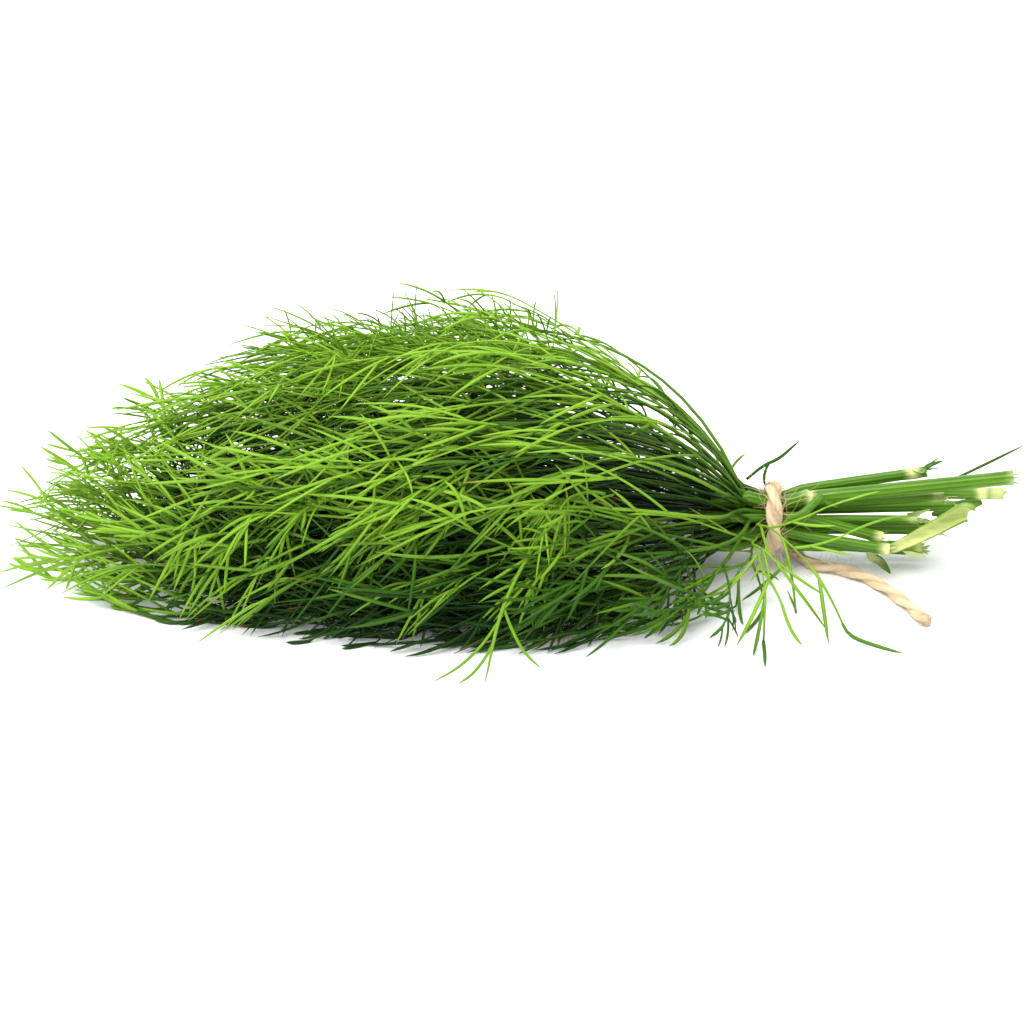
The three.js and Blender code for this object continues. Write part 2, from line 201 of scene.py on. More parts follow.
def midrib(name, count, held_back, inset, degree=5):
    """The middle line of a leaf node, base first: each coordinate is a smooth polynomial of the
    straight distance from the leaf's base, fitted through all of its corners. It is led on under the
    twine, set in towards the crown's axis by a share of the way where the crown is open, lifted a
    little at the end of the bunch, and ends short of the leaf's tip, because threads stand off it."""
    corners = node_points(name)
    near = np.linalg.norm(corners - TIE, axis=1)
    base = corners[near < near.min() + 0.6 * MM].mean(0)
    away = np.linalg.norm(corners - base, axis=1)
    span = away.max()
    fit = np.polynomial.polynomial.polyfit(away / span, corners - base, degree)
    fit[0] = 0
    parts = np.linspace(0, 1 - held_back / span, 24)
    line = base + np.polynomial.polynomial.polyval(parts, fit).T
    opened, axis = crown_axis(line)
    line = axis + (line - axis) * (1 - inset * opened[:, None] ** 2)
    line[:, 2] += END_LIFT * held(far_along(line) - 0.5, 0.5) ** 1.5
    out = unit((base - TIE) * [0, 1, 1])
    under_twine = TIE + out * BUNDLE_RADIUS * 0.8 + [1.5 * MM, 0, 0]
    beside_twine = TIE + out * BUNDLE_RADIUS * 0.98 - [2.6 * MM, 0, 0]
    return along_curve(np.concatenate([[under_twine, beside_twine], line]), count)


# ---- Surfaces worked out as whole arrays --------------------------------------------------------


def unit(vectors):
    return vectors / np.maximum(np.linalg.norm(vectors, axis=-1, keepdims=True), 1e-12)


def along_curve(points, count):
    """Points evenly spaced along a smooth curve's length: a cubic in each span whose slope at a point
    comes from the points on both sides of it."""
    parts = np.linspace(0, 1, count)
    steps = np.linalg.norm(np.diff(points, axis=0), axis=1)
    knots = np.concatenate([[0], np.cumsum(steps)]) / steps.sum()
    slopes = np.gradient(points, knots, axis=0)
    span = np.clip(np.searchsorted(knots, parts, side="right") - 1, 0, len(points) - 2)
    width = (knots[span + 1] - knots[span])[:, None]
    t = (parts[:, None] - knots[span][:, None]) / width
    start, end = points[span], points[span + 1]
    push, pull = slopes[span] * width, slopes[span + 1] * width
    return (
        (2 * t**3 - 3 * t**2 + 1) * start
        + (t**3 - 2 * t**2 + t) * push
        + (3 * t**2 - 2 * t**3) * end
        + (t**3 - t**2) * pull
    )


def walk_along(line):
    """The distance along a line to each of its points."""
    return np.concatenate([[0], np.cumsum(np.linalg.norm(np.diff(line, axis=0), axis=1))])


def grid_faces(steps, sides, closed=False):
    """Quads between neighbouring rings, and fans that close the two ends on the two last corners. A
    closed grid joins its last ring to its first and has no ends."""
    rows = np.arange(steps if closed else steps - 1)[:, None] * sides
    after_rows = (rows + sides) % (steps * sides)
    this, after = np.arange(sides), (np.arange(sides) + 1) % sides
    quads = np.stack([rows + this, rows + after, after_rows + after, after_rows + this], -1)
    if closed:
        return quads.reshape(-1, 4), np.empty((0, 3), int)
    last = (steps - 1) * sides
    middle = np.full(sides, steps * sides)
    first_cap = np.stack([after, this, middle], -1)
    last_cap = np.stack([last + this, last + after, middle + 1], -1)
    return quads.reshape(-1, 4), np.concatenate([first_cap, last_cap])


def circle(sides):
    """Angles, cosines and sines round a circle."""
    angle = 2 * np.pi * np.arange(sides) / sides
    return angle, np.cos(angle)[:, None], np.sin(angle)[:, None]


def sweep(points, radius, normal, sides, flat=1.0):
    """Closed tubes along many lines at once. points is (lines, steps, 3), radius (lines, steps),
    normal (lines, 3). A corner is the line's point plus the radius times the cosine of its angle
    across the line, and flat times its sine along the normal. Returns corners, quads, triangles and
    how far along its line each corner is."""
    lines, steps, _ = points.shape
    tangent = unit(np.gradient(points, axis=1))
    across = unit(np.cross(tangent, normal[:, None, :]))
    outward = np.cross(across, tangent)
    _, cosine, sine = circle(sides)
    rings = points[:, :, None] + radius[:, :, None, None] * (
        cosine * across[:, :, None] + flat * sine * outward[:, :, None]
    )
    corners = np.concatenate([rings.reshape(lines, -1, 3), points[:, [0, -1]]], axis=1)
    quads, caps = grid_faces(steps, sides)
    offset = (np.arange(lines) * corners.shape[1])[:, None, None]
    part = np.concatenate([np.repeat(np.linspace(0, 1, steps), sides), [0, 1]])
    return (
        corners.reshape(-1, 3),
        (quads[None] + offset).reshape(-1, 4),
        (caps[None] + offset).reshape(-1, 3),
        np.tile(part, lines),
    )


def frames_along(points, upward, closed=False):
    """Directions along, across and out of a path. The two cross directions come from a fixed upward
    direction, so the profile doesn't turn along the path."""
    if closed:
        along = unit(np.roll(points, -1, axis=0) - np.roll(points, 1, axis=0))
    else:
        along = unit(np.gradient(points, axis=0))
    across = unit(np.cross(along, upward))
    return along, across, np.cross(across, along)


class Skin:
    """Collects surfaces and the values of their corners, and makes one piece of them."""

    def __init__(self):
        self.corners, self.quads, self.triangles, self.values = [], [], [], []
        self.count = 0

    def add(self, corners, quads, triangles, **values):
        self.corners.append(corners)
        self.quads.append(quads + self.count)
        self.triangles.append(triangles + self.count)
        self.values.append({k: np.broadcast_to(v, len(corners)) for k, v in values.items()})
        self.count += len(corners)

    def add_leaf_tubes(self, strands, radius, tone, sides, flat, dry=0.0, shades=None):
        """Tubes of leaf, with a tone and a dryness for each strand. shades gives what each corner's
        place adds to its tone, which holds painted light and shade, and how deep in the bunch it lies,
        for painted shade."""
        corners, quads, caps, part = sweep(
            strands["points"], radius, strands["normal"], sides, flat
        )
        lines = len(strands["points"])
        tone, dry = (
            np.repeat(np.broadcast_to(v, lines), len(corners) // lines) for v in (tone, dry)
        )
        # fresher can hold painted light and shade from the place; depth is the painted shade deep in
        # the bunch.
        fresher, depth = shades(corners) if shades else (0.0, 0.0)
        self.add(corners, quads, caps, along=part, tone=tone + fresher, depth=depth, dry=dry)

    def build(self, name, material, slot, *nodes):
        """Makes the piece, which rides on the bunch and stands for the nodes."""
        corners = np.concatenate(self.corners)
        quads, triangles = np.concatenate(self.quads), np.concatenate(self.triangles)
        mesh = bpy.data.meshes.new(name)
        mesh.vertices.add(len(corners))
        mesh.vertices.foreach_set("co", corners.astype(np.float32).ravel())
        loops = np.concatenate([quads.ravel(), triangles.ravel()])
        mesh.loops.add(len(loops))
        mesh.loops.foreach_set("vertex_index", loops.astype(np.int32))
        starts = np.concatenate(
            [np.arange(len(quads)) * 4, len(quads) * 4 + np.arange(len(triangles)) * 3]
        )
        mesh.polygons.add(len(starts))
        mesh.polygons.foreach_set("loop_start", starts.astype(np.int32))
        mesh.polygons.foreach_set("use_smooth", np.ones(len(starts), dtype=bool))
        for key in self.values[0]:
            attribute = mesh.attributes.new(key, "FLOAT", "POINT")
            joined = np.concatenate([values[key] for values in self.values])
            attribute.data.foreach_set("value", joined.astype(np.float32))
        mesh.update(calc_edges=True)
        mesh.validate()
        mesh.materials.append(material)
        piece = bpy.data.objects.new(name, mesh)
        bpy.context.scene.collection.objects.link(piece)
        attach(piece, "root")
        if nodes:
            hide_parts(*nodes)
        return piece


# ---- Leaves -------------------------------------------------------------------------------------


def at_part(lines, index, part):
    """Point and direction at a part of the way along chosen lines."""
    steps = lines.shape[1] - 1
    place = np.clip(part * steps, 0, steps - 1e-6)
    step = place.astype(int)
    rest = (place - step)[:, None]
    here, there = lines[index, step], lines[index, step + 1]
    return here * (1 - rest) + there * rest, unit(there - here)


def pull_on(tip, length, wander, settings, comb):
    """Where a strand bends to: combed towards the leaf tips, down by its weight, though up again at
    the end of the bunch, its own way, and back to the bunch where its tip would stand far out."""
    out = unit((tip - [0, TIE[1], CROWN_AXIS]) * [0, 1, 1])
    excess = np.clip(crown_ratio(tip) - settings.stand_out, 0, 0.5)[:, None]
    back = np.clip(0.8 * excess * CROWN_HALF_WIDTH / length[:, None], 0, 0.7)
    at_end = held(far_along(tip) - 0.66, 0.3)[:, None]
    droop = settings.droop * (1 - 2.4 * comb * at_end) * UP
    return comb * settings.comb * TOWARDS_TIPS - droop + wander - back * out


def sprout(parents, index, part, turn, roll, length, wander, steps, settings, comb=1.0):
    """New strands from parent strands. Each leaves its parent at a part of the way along, turned by
    an angle, whose sign gives the side, and rolled out of the leaf's plane, and bends steadily:
    point = base + length * (s * heading + s * s / 2 * pull)."""
    base, forward = at_part(parents["points"], index, part)
    normal = parents["normal"][index]
    aside = unit(np.cross(normal, forward))
    normal = np.cross(forward, aside)
    lean = aside * np.cos(roll)[:, None] + normal * np.sin(roll)[:, None]
    heading = unit(forward * np.cos(turn)[:, None] + lean * np.sin(turn)[:, None])
    room = (base[:, 0] - TIP_LIMIT) / np.maximum(-heading[:, 0], 0.3)
    length = np.clip(room, 0.25 * length, length)
    pull = pull_on(base + length[:, None] * heading, length, wander, settings, comb)
    s = np.linspace(0, 1, steps)[None, :, None]
    points = base[:, None] + length[:, None, None] * (
        s * heading[:, None] + 0.5 * s * s * pull[:, None]
    )
    return {"points": points, "normal": normal, "wander": wander}


def keep_off_floor(points, clearance):
    """Bends what would sink below the surface onto it: height = clearance + softness * log(1 +
    exp(height over the clearance / softness))."""
    softness = 0.7 * MM
    over = (points[..., 2] - clearance) / softness
    lifted = points.copy()
    lifted[..., 2] = clearance + softness * np.logaddexp(0, over)
    return lifted


def settle(strands, radius, room):
    """Shortens each strand that would stand out of the bunch further than its room, or sink far below
    the surface, and flattens the rise of one that would pass the top. One that would still sink lands
    on the surface: fall = height * (1 - (1 - s) ** power), where the power keeps the strand's first
    slope. A strand with no room given is free, and slides on by a part of what it can't fall."""
    least_share, sinks, slide, steepest = 0.5, -1.6, 0.4, 8
    base = strands["points"][:, :1]
    reach = strands["points"] - base
    base_height = base[:, 0, 2]
    s = np.linspace(0, 1, reach.shape[1])[None]
    if room is not None:
        ratio = crown_ratio(strands["points"])
        height = np.clip(strands["points"][:, -1, 2] / CROWN_RISE, 0, 1)
        start, end = ratio[:, 0], ratio.max(1)
        spare = room + TOP_ROOM * height**2 - start
        share = np.clip(spare / np.maximum(end - start, 1e-6), least_share, 1)
        lowest = np.minimum(reach[..., 2].min(1), -1e-9)
        share *= np.clip(sinks * base_height / lowest, least_share, 1)
        reach = reach * share[:, None, None]
    clearance = radius.max(1)
    height = np.maximum(base_height - clearance, 1e-6)
    fall = np.minimum(reach[..., 2].min(1), -1e-9)
    rise = np.maximum(reach[..., 2].max(1), 1e-9)
    kept = np.minimum(
        np.clip(-height / fall, 0, 1), np.clip((TOP_LIMIT - base_height) / rise, 0, 1)
    )
    if room is None:
        level = unit(reach[:, -1:] * [1, 1, 0])
        reach = reach + (slide * (kept - 1) * fall)[:, None, None] * s[..., None] ** 2 * level
    power = -reach[:, 1, 2] * (reach.shape[1] - 1) / height
    landing = -height[:, None] * (1 - (1 - s) ** np.clip(power, 1, steepest)[:, None])
    lands = (fall < -height) & (power > 1)
    reach[..., 2] = np.where(lands[:, None], landing, reach[..., 2] * kept[:, None])
    points = base + reach
    points[..., 2] = np.maximum(points[..., 2], clearance[:, None])
    strands["points"] = points


def thread_radius(base, steps, point=0.1):
    """A thread keeps its width and narrows towards its pointed tip."""
    s = np.linspace(0, 1, steps)
    return base[:, None] * np.maximum((0.75 + 0.5 * s - 0.25 * s**2) * (1 - s**5) ** 0.7, point)


def to_both_sides(order):
    """1 at odd places in an order and -1 at even ones."""
    return np.where(order % 2, 1.0, -1.0)


def turned(rng, side, degrees, spread):
    """Angles to the given sides, in radians."""
    return side * np.radians(rng.normal(degrees, spread, side.size))


def grow_leaf(line, settings, seed, plan):
    """One compound leaf round its rib: side axes, the first ones long and close to the rib, threads on
    both sides of each axis, and threads that fork off those."""
    rng = np.random.default_rng(seed)
    skin = Skin()
    length = np.linalg.norm(np.diff(line, axis=0), axis=1).sum()
    middle = line[len(line) // 2]
    outward = unit(middle - [middle[0], TIE[1], 0])
    rib = {"points": line[None], "normal": outward[None]}
    leaf_tone = plan["tone"] + rng.uniform(-0.14, 0.14)

    def add(strands, radius, tone, sides, flat, dry=0.0, freedom=0.0):
        room = None
        if plan["held_in"]:
            room = settings.stand_out + rng.exponential(freedom, len(strands["points"]))
        settle(strands, radius, room)
        # The place adds painted light and shade to each thread's tone, and painted shade deep in the
        # bunch.
        skin.add_leaf_tubes(
            strands, radius, tone, sides, flat, dry, lambda c: (tone_and_painted_light_of_place(c), painted_inside_shade(c))
        )

    narrowing = np.linspace(1, 0.4, line.shape[0]) * plan["rib_radius"]
    add(rib, narrowing[None], leaf_tone, 8, 0.85)

    # side axes
    count = plan["axes"]
    first = plan["bare"] / length
    part = first + (0.99 - first) * np.linspace(0, 1, count) ** 1.1
    part = np.clip(part + rng.normal(0, 0.012, count), 0.03, 0.995)
    base, _ = at_part(line[None], np.zeros(count, int), part)
    kept = rng.random(count) > 0.8 * plan["thin"] * thinness(base)
    part, side = part[kept], to_both_sides(np.arange(count))[kept]
    count = len(part)
    late = held(part - 0.1, 0.9)
    reach = plan["first_axis"] * (1 - late) + plan["last_axis"] * late
    reach = reach * rng.uniform(0.75, 1.15, count)
    turn = side * np.radians(rng.normal(21, 9, count) + 17 * late)
    turn[-1] *= 0.1  # the last axis leads the rib on
    roll = rng.normal(plan["lift"], 0.4, count)
    wander = rng.normal(size=(count, 3)) * [0.1, 0.28, 0.28]
    wander[:, 2] += settings.droop * 0.6
    index = np.zeros(count, int)
    axes = sprout(rib, index, part, turn, roll, reach, wander, 14, settings, plan["comb"])
    axis_tone = leaf_tone + rng.normal(0, 0.1, count)
    axis_radius = np.linspace(1, 0.62, 14)[None] * settings.axis_radius
    add(axes, axis_radius * rng.uniform(0.85, 1.1, (count, 1)), axis_tone, 6, 0.8)

    # threads along the far part of each axis, and one at its end
    bare = np.clip(0.22 + 0.25 * (1 - late), 0, 0.6)
    spacing = settings.thread_spacing * plan["sparse"]
    spots = np.maximum(np.round(reach * (1 - bare) / spacing).astype(int), 2)
    index = np.repeat(np.arange(count), spots)
    order = np.arange(index.size) - np.repeat(np.cumsum(spots) - spots, spots)
    last_place = np.repeat(spots, spots) - 1
    last = order == last_place
    part = bare[index] + (1 - bare[index]) * (order / last_place)
    part = np.where(last, 0.999, part + rng.normal(0, 0.015, index.size))
    base, _ = at_part(axes["points"], index, part)
    kept = last | (rng.random(index.size) > plan["thin"] * thinness(base))
    index, order, last, part = (v[kept] for v in (index, order, last, part))
    count = index.size
    straight_on = rng.normal(0, 0.1, count)
    turn = np.where(last, straight_on, turned(rng, to_both_sides(order), 35, 10))
    roll = rng.normal(0.05, 0.5, count)
    reach = settings.thread_length * rng.uniform(0.6, 1.2, count)
    reach *= plan["thread_share"]
    wander = 0.7 * axes["wander"][index] + rng.normal(size=(count, 3)) * [0.1, 0.16, 0.16]
    threads = sprout(axes, index, part, turn, roll, reach, wander, 9, settings, plan["comb"])
    tone = axis_tone[index] + rng.normal(0, 0.08, count)
    wider_outside = 0.8 + 0.4 * outsideness(threads["points"][:, 4])
    radius = settings.thread_radius * rng.uniform(0.7, 1.05, count) * wider_outside
    dry = (rng.random(count) < 0.03) * 1.0
    add(threads, thread_radius(radius, 9), tone, 5, 0.55, dry, settings.freedom)
    if not plan["forks"]:
        return skin

    # threads that fork off those
    parent, part = fork_places(plan["forks"], count, 0.2, 0.55)
    part = np.clip(part + rng.normal(0, 0.07, parent.size), 0.08, 0.8)
    side = to_both_sides(np.arange(parent.size) + rng.integers(0, 2))
    turn = turned(rng, side, 32, 9)
    roll = rng.normal(0, 0.5, parent.size)
    reach = reach[parent] * (1 - part) * rng.uniform(0.7, 1.15, parent.size)
    wander = 0.8 * threads["wander"][parent] + rng.normal(size=(parent.size, 3)) * 0.1
    forks = sprout(threads, parent, part, turn, roll, reach, wander, 8, settings, plan["comb"])
    tone = tone[parent] + rng.normal(0, 0.05, parent.size)
    dry = (rng.random(parent.size) < 0.02) * 1.0
    add(forks, thread_radius(radius[parent] * 0.9, 8), tone, 4, 0.6, dry, settings.freedom)
    return skin


def fork_places(forks, count, first, last):
    """The same number of forks for each of a count of strands: its number, and the part of the way
    along it, evenly spaced from the first to short of the last."""
    return (
        np.repeat(np.arange(count), forks),
        np.tile(np.linspace(first, last, forks + 1)[:forks], count),
    )


def stalk_lines(rng, count, steps, shortest, longest):
    """Leaf stalks that spread from under the twine through the crown: each keeps its angle round the
    axis and its share of the way out, point = axis + share * (half width * cos(angle), rise *
    sin(angle)), and wanders a little. One in six arches over the crown's outside."""
    share = np.sqrt(rng.uniform(0.04, 0.5, count))[:, None]
    angle = rng.uniform(-0.35, np.pi + 0.35, count)[:, None]
    arches = count // 6
    share[:arches] = rng.uniform(0.82, 1.04, (arches, 1))
    angle[:arches] = rng.uniform(0.7, 2.3, (arches, 1))
    reach = rng.uniform(shortest, longest, count)[:, None]
    s = np.linspace(0, 1, steps)[None]
    x = TIE[0] + 2 * MM - s * reach
    points = np.stack([x, np.full_like(x, TIE[1]), np.zeros_like(x)], axis=-1)
    opened, axis = crown_axis(points)
    inner = 0.62 * WRAP_OUTSIDE
    width, rise = crown_outside(points, inner)
    fall = inner + (CROWN_AXIS - 1 * MM - inner) * opened
    turn = angle + 0.25 * s**2 * rng.normal(size=(count, 1))
    height = np.where(np.sin(turn) > 0, rise, fall) * np.sin(turn)
    wave = 1.2 * MM * opened * np.sin(5 * s + rng.uniform(0, 6, (count, 1)))
    points = axis + np.stack([0 * x, share * width * np.cos(turn) + wave, share * height], axis=-1)
    points[..., 2] = np.maximum(points[..., 2], 1 * MM)
    return points


def spray_roots(rng, count, angles, distances, lean):
    """Short unseen roots for sprays: points just inside the crown's outside, at random angles round
    its axis and distances from the tie, with a heading between the tips and straight outwards."""
    angle = rng.uniform(*angles, count)
    distance = rng.uniform(*distances, count)
    root = np.stack([TIE[0] - distance, np.full(count, TIE[1]), np.zeros(count)], axis=-1)
    _, axis = crown_axis(root)
    out = np.stack([np.zeros(count), np.cos(angle), np.sin(angle)], axis=-1)
    reach = 0.84 * 10 * MM / crown_ratio(axis + 10 * MM * out)
    root = axis + reach[:, None] * out
    heading = unit(TOWARDS_TIPS + rng.normal(lean, 0.35, (count, 1)) * out
                   + rng.normal(size=(count, 3)) * 0.25)
    lines = np.stack([root, root + heading * MM], axis=1)
    return {"points": lines, "normal": unit(np.cross(heading, rng.normal(size=(count, 3))))}


def grow_sprays(skin, roots, settings, rng, length, tone, radius, droop):
    """A spray for each root: a main thread, three that fork off it and one more fork on each."""
    count = len(roots["points"])

    def add(strands, width):
        settle(strands, width, None)
        tones = rng.normal(tone, 0.12, len(strands["points"]))
        skin.add_leaf_tubes(strands, width, tones, 5, 0.6)

    none = np.zeros(count)
    wander = rng.normal(size=(count, 3)) * 0.25 - droop * UP
    reach = length * rng.uniform(0.7, 1.15, count)
    parents = sprout(roots, np.arange(count), none, none, none, reach, wander, 12, settings)
    add(parents, thread_radius(radius * rng.uniform(0.9, 1.2, count), 12))
    for forks, share in ((3, 0.62), (1, 0.6)):
        index, part = fork_places(forks, len(parents["points"]), 0.25, 0.62)
        count = index.size
        part = part + rng.normal(0, 0.05, count)
        turn = turned(rng, to_both_sides(np.arange(count)), 30, 7)
        roll = rng.normal(0, 0.4, count)
        reach = length * share * rng.uniform(0.7, 1.2, count)
        wander = parents["wander"][index] + rng.normal(size=(count, 3)) * 0.12
        parents = sprout(parents, index, part, turn, roll, reach, wander, 9, settings)
        radius = radius * 0.92
        add(parents, thread_radius(np.full(count, radius), 9))
        length = length * share


# ---- Stems --------------------------------------------------------------------------------------


def stem_skin(skin, line, radius, seed, pale_places=(), cut=True, sides=36):
    """A ridged stem: radius * (1 + ridge * cos(ridges * angle)), swollen at its joints by a bell curve
    of the distance along it, and cut off in a shallow bowl. Stripes follow the ridges."""
    ridges, ridge_height, swelling = 9, 0.035, 0.14
    rng = np.random.default_rng(seed)
    along, across, outward = frames_along(line, UP)
    angle, cosine, sine = circle(sides)
    phase = rng.uniform(0, 6.28)
    ridge = np.cos(ridges * angle + phase)
    stripe = 0.5 + 0.25 * ridge + rng.normal(0, 0.16, sides)
    slow = 0.03 * np.sin(walk_along(line) / (9 * MM) + phase)
    swell, pale = np.zeros(len(line)), np.zeros(len(line))
    for place, width, strength in pale_places:
        bell = strength * np.exp(-(((line[:, 0] - TIE[0] - place) / width) ** 2))
        swell, pale = swell + swelling * bell, np.maximum(pale, bell)
    grid_radius = (radius * (1 + slow + swell))[:, None] * (1 + ridge_height * ridge[None])
    centres = line
    is_cut = np.zeros(len(line))
    if cut:
        inset = np.array([0.97, 0.86, 0.6, 0.28])
        depth = np.array([-0.12, 0.1, 0.35, 0.42]) * radius
        rough = rng.normal(0, 0.05, (len(inset), sides))
        bowl = grid_radius[-1] * inset[:, None] * (1 + rough)
        grid_radius = np.concatenate([grid_radius, bowl])
        centres = np.concatenate([centres, line[-1] - along[-1] * depth[:, None]])
        is_cut = np.concatenate([is_cut, np.ones(len(inset))])
        across, outward, pale = (
            np.concatenate([v, np.repeat(v[-1:], len(inset), 0)]) for v in (across, outward, pale)
        )
    corners = centres[:, None] + grid_radius[..., None] * (
        cosine * across[:, None] + sine * outward[:, None]
    )
    corners = np.concatenate([corners.reshape(-1, 3), centres[[0, -1]]])
    quads, caps = grid_faces(len(centres), sides)
    skin.add(
        corners, quads, caps,
        stripe=np.concatenate([np.tile(stripe, len(centres)), [0.5, 0.5]]),
        pale=np.concatenate([np.repeat(pale, sides), [0, pale[-1]]]),
        cut=np.concatenate([np.repeat(is_cut, sides), [0, float(cut)]]),
    )


def strip_skin(skin, line, width, thickness, curl, upward, pale, stripe=0.5):
    """A torn strip of stem wall: a bent band carried along a path. Its cross-section is an arc that
    turns through twice the curl, with a second arc a wall's thickness inside it, and both narrow or
    open as the width and curl do along the path."""
    count = 11
    steps = len(line)
    _, across, outward = frames_along(line, unit(np.array(upward)))
    width, curl, pale = (np.broadcast_to(v, steps) for v in (width, curl, pale))
    turn = np.linspace(-1, 1, count)[None] * curl[:, None]
    radius = (width / 2 / np.maximum(np.sin(np.minimum(curl, np.pi / 2)), 0.05))[:, None]
    to_edge = radius * np.cos(np.minimum(curl, 1.5))[:, None]

    def arc(r, a):
        return (
            line[:, None]
            + (r * np.sin(a))[..., None] * across[:, None]
            + (r * np.cos(a) - to_edge)[..., None] * outward[:, None]
        )

    rings = np.concatenate([arc(radius, turn), arc(radius - thickness, turn[:, ::-1])], axis=1)
    sides = 2 * count
    quads, _ = grid_faces(steps, sides)
    k = np.arange(count - 1)
    first = np.stack([k + 1, k, sides - 1 - k, sides - 2 - k], -1)
    last = np.stack([k, k + 1, sides - 2 - k, sides - 1 - k], -1) + (steps - 1) * sides
    paleness = np.repeat([0.25, 1.0], count)[None] * pale[:, None]
    skin.add(
        rings.reshape(-1, 3), np.concatenate([quads, first, last]), np.empty((0, 3), int),
        stripe=stripe, pale=paleness.ravel(), cut=0.0,
    )


# ---- Twine --------------------------------------------------------------------------------------


def twine_skin(skin, line, radius, flat, pitch, upward, closed=False, sides=28):
    """Two plies twisted together: at each place the outline is that of two round plies side by side,
    offset * cos(b) + sqrt(ply ** 2 - offset ** 2 * sin(b) ** 2), where b is the angle from the line
    through their middles, which turns once in a pitch. A painted shade value says how deep between
    the plies each corner is."""
    _, across, outward = frames_along(line, upward, closed)
    angle, cosine, sine = circle(sides)
    turn = angle[None] - 2 * np.pi * walk_along(line)[:, None] / pitch
    offset, ply = 0.36, 0.66
    aside, ahead = np.abs(np.sin(turn)), np.abs(np.cos(turn))
    outline = offset * ahead + np.sqrt(ply**2 - offset**2 * aside**2)
    reach = np.asarray(radius).reshape(-1, 1) * outline
    corners = line[:, None] + reach[..., None] * (
        cosine * across[:, None] + flat * sine * outward[:, None]
    )
    corners, groove, turn = corners.reshape(-1, 3), ((1.02 - outline) / 0.6).ravel(), turn.ravel()
    quads, caps = grid_faces(len(line), sides, closed)
    if not closed:
        corners = np.concatenate([corners, line[[0, -1]]])
        groove, turn = np.append(groove, [0.5, 0.5]), np.append(turn, [0, 0])
    walk = corners @ np.array([1.0, 0.7, 0.6])
    skin.add(corners, quads, caps, groove=groove, walk=walk,
             ply_x=np.cos(turn), ply_y=np.sin(turn))


# ---- Shader expressions -------------------------------------------------------------------------


class Value:
    """A shader socket that can be used in Python expressions."""

    def __init__(self, graph, socket):
        self.graph, self.socket = graph, socket

    def _math(self, operation, *operands, clamp=False):
        settings = {"operation": operation, "use_clamp": clamp}
        return self.graph.node("ShaderNodeMath", settings, operands)

    def __add__(self, other):
        return self._math("ADD", self, other)

    __radd__ = __add__

    def __sub__(self, other):
        return self._math("SUBTRACT", self, other)

    def __rsub__(self, other):
        return self._math("SUBTRACT", other, self)

    def __mul__(self, other):
        return self._math("MULTIPLY", self, other)

    __rmul__ = __mul__

    def __pow__(self, other):
        return self._math("POWER", self, other)

    def clamped(self):
        return self._math("ADD", self, 0.0, clamp=True)


class Graph:
    """A material's node tree, with one method that makes any node."""

    def __init__(self, name):
        self.material = bpy.data.materials.new(name)
        self.material.use_nodes = True
        self.tree = self.material.node_tree
        self.tree.nodes.clear()

    def node(self, kind, settings=(), inputs=(), output=0):
        """Makes a node, applies its settings, then fills its sockets, by order or by name, with values
        or links, and returns the chosen output."""
        made = self.tree.nodes.new(kind)
        for key, value in dict(settings).items():
            if key == "stops":
                self._stops(made.color_ramp, value)
            else:
                setattr(made, key, value)
        pairs = inputs.items() if isinstance(inputs, dict) else enumerate(inputs)
        for key, value in pairs:
            if isinstance(value, Value):
                self.tree.links.new(value.socket, made.inputs[key])
            else:
                made.inputs[key].default_value = value
        return Value(self, made.outputs[output]) if made.outputs else None

    @staticmethod
    def _stops(ramp, stops):
        while len(ramp.elements) < len(stops):
            ramp.elements.new(0.5)
        for element, (place, shade) in zip(ramp.elements, stops):
            element.position = place
            element.color = (*shade, 1)

    def attribute(self, name):
        return self.node("ShaderNodeAttribute", {"attribute_name": name}, output="Fac")

    def noise(self, scale, detail=3.0, roughness=0.55, place=None):
        """Noise in Object coordinates, or at another place."""
        place = place or self.node("ShaderNodeTexCoord", output="Object")
        sockets = {"Vector": place, "Scale": scale, "Detail": detail, "Roughness": roughness}
        return self.node("ShaderNodeTexNoise", inputs=sockets, output="Fac")

    def streaks(self, along, across):
        """Noise drawn out along X, with its scales along and across the bunch."""
        place = self.node("ShaderNodeTexCoord", output="Object")
        place = self.node(
            "ShaderNodeVectorMath", {"operation": "MULTIPLY"}, [place, (along, across, across)]
        )
        return self.noise(1.0, 3.0, 0.5, place)

    def ply_fibres(self, across, along):
        """Noise that runs along the twisted plies, with its scales across and along them."""
        scales = {"ply_x": across, "ply_y": across, "walk": along}
        place = [self.attribute(name) * scale for name, scale in scales.items()]
        return self.noise(1.0, 2.0, 0.5, self.node("ShaderNodeCombineXYZ", inputs=place))

    def ramp(self, value, stops):
        return self.node("ShaderNodeValToRGB", {"stops": stops}, [value], output="Color")

    def mix(self, factor, first, second):
        """Mixes two colours; a tuple is a fixed colour."""
        first, second = [(*c, 1) if isinstance(c, tuple) else c for c in (first, second)]
        sockets = {0: factor, 6: first, 7: second}
        return self.node("ShaderNodeMix", {"data_type": "RGBA"}, sockets, output=2)

    def bump(self, height, strength, distance):
        sockets = {"Strength": strength, "Distance": distance, "Height": height}
        return self.node("ShaderNodeBump", inputs=sockets, output="Normal")

    def finish(self, through=None, share=0.0, **sockets):
        """Ends the tree in one Principled surface, whose sockets are named with _ for a space. With a
        fixed colour to let light through in, that share of the surface is Translucent."""
        named = {key.replace("_", " "): value for key, value in sockets.items()}
        surface = self.node("ShaderNodeBsdfPrincipled", inputs=named)
        if through is not None:
            lit = self.node("ShaderNodeBsdfTranslucent", inputs={"Color": (*through, 1)})
            surface = self.node("ShaderNodeMixShader", inputs=[share, surface, lit])
        self.node("ShaderNodeOutputMaterial", inputs={"Surface": surface})
        return self.material


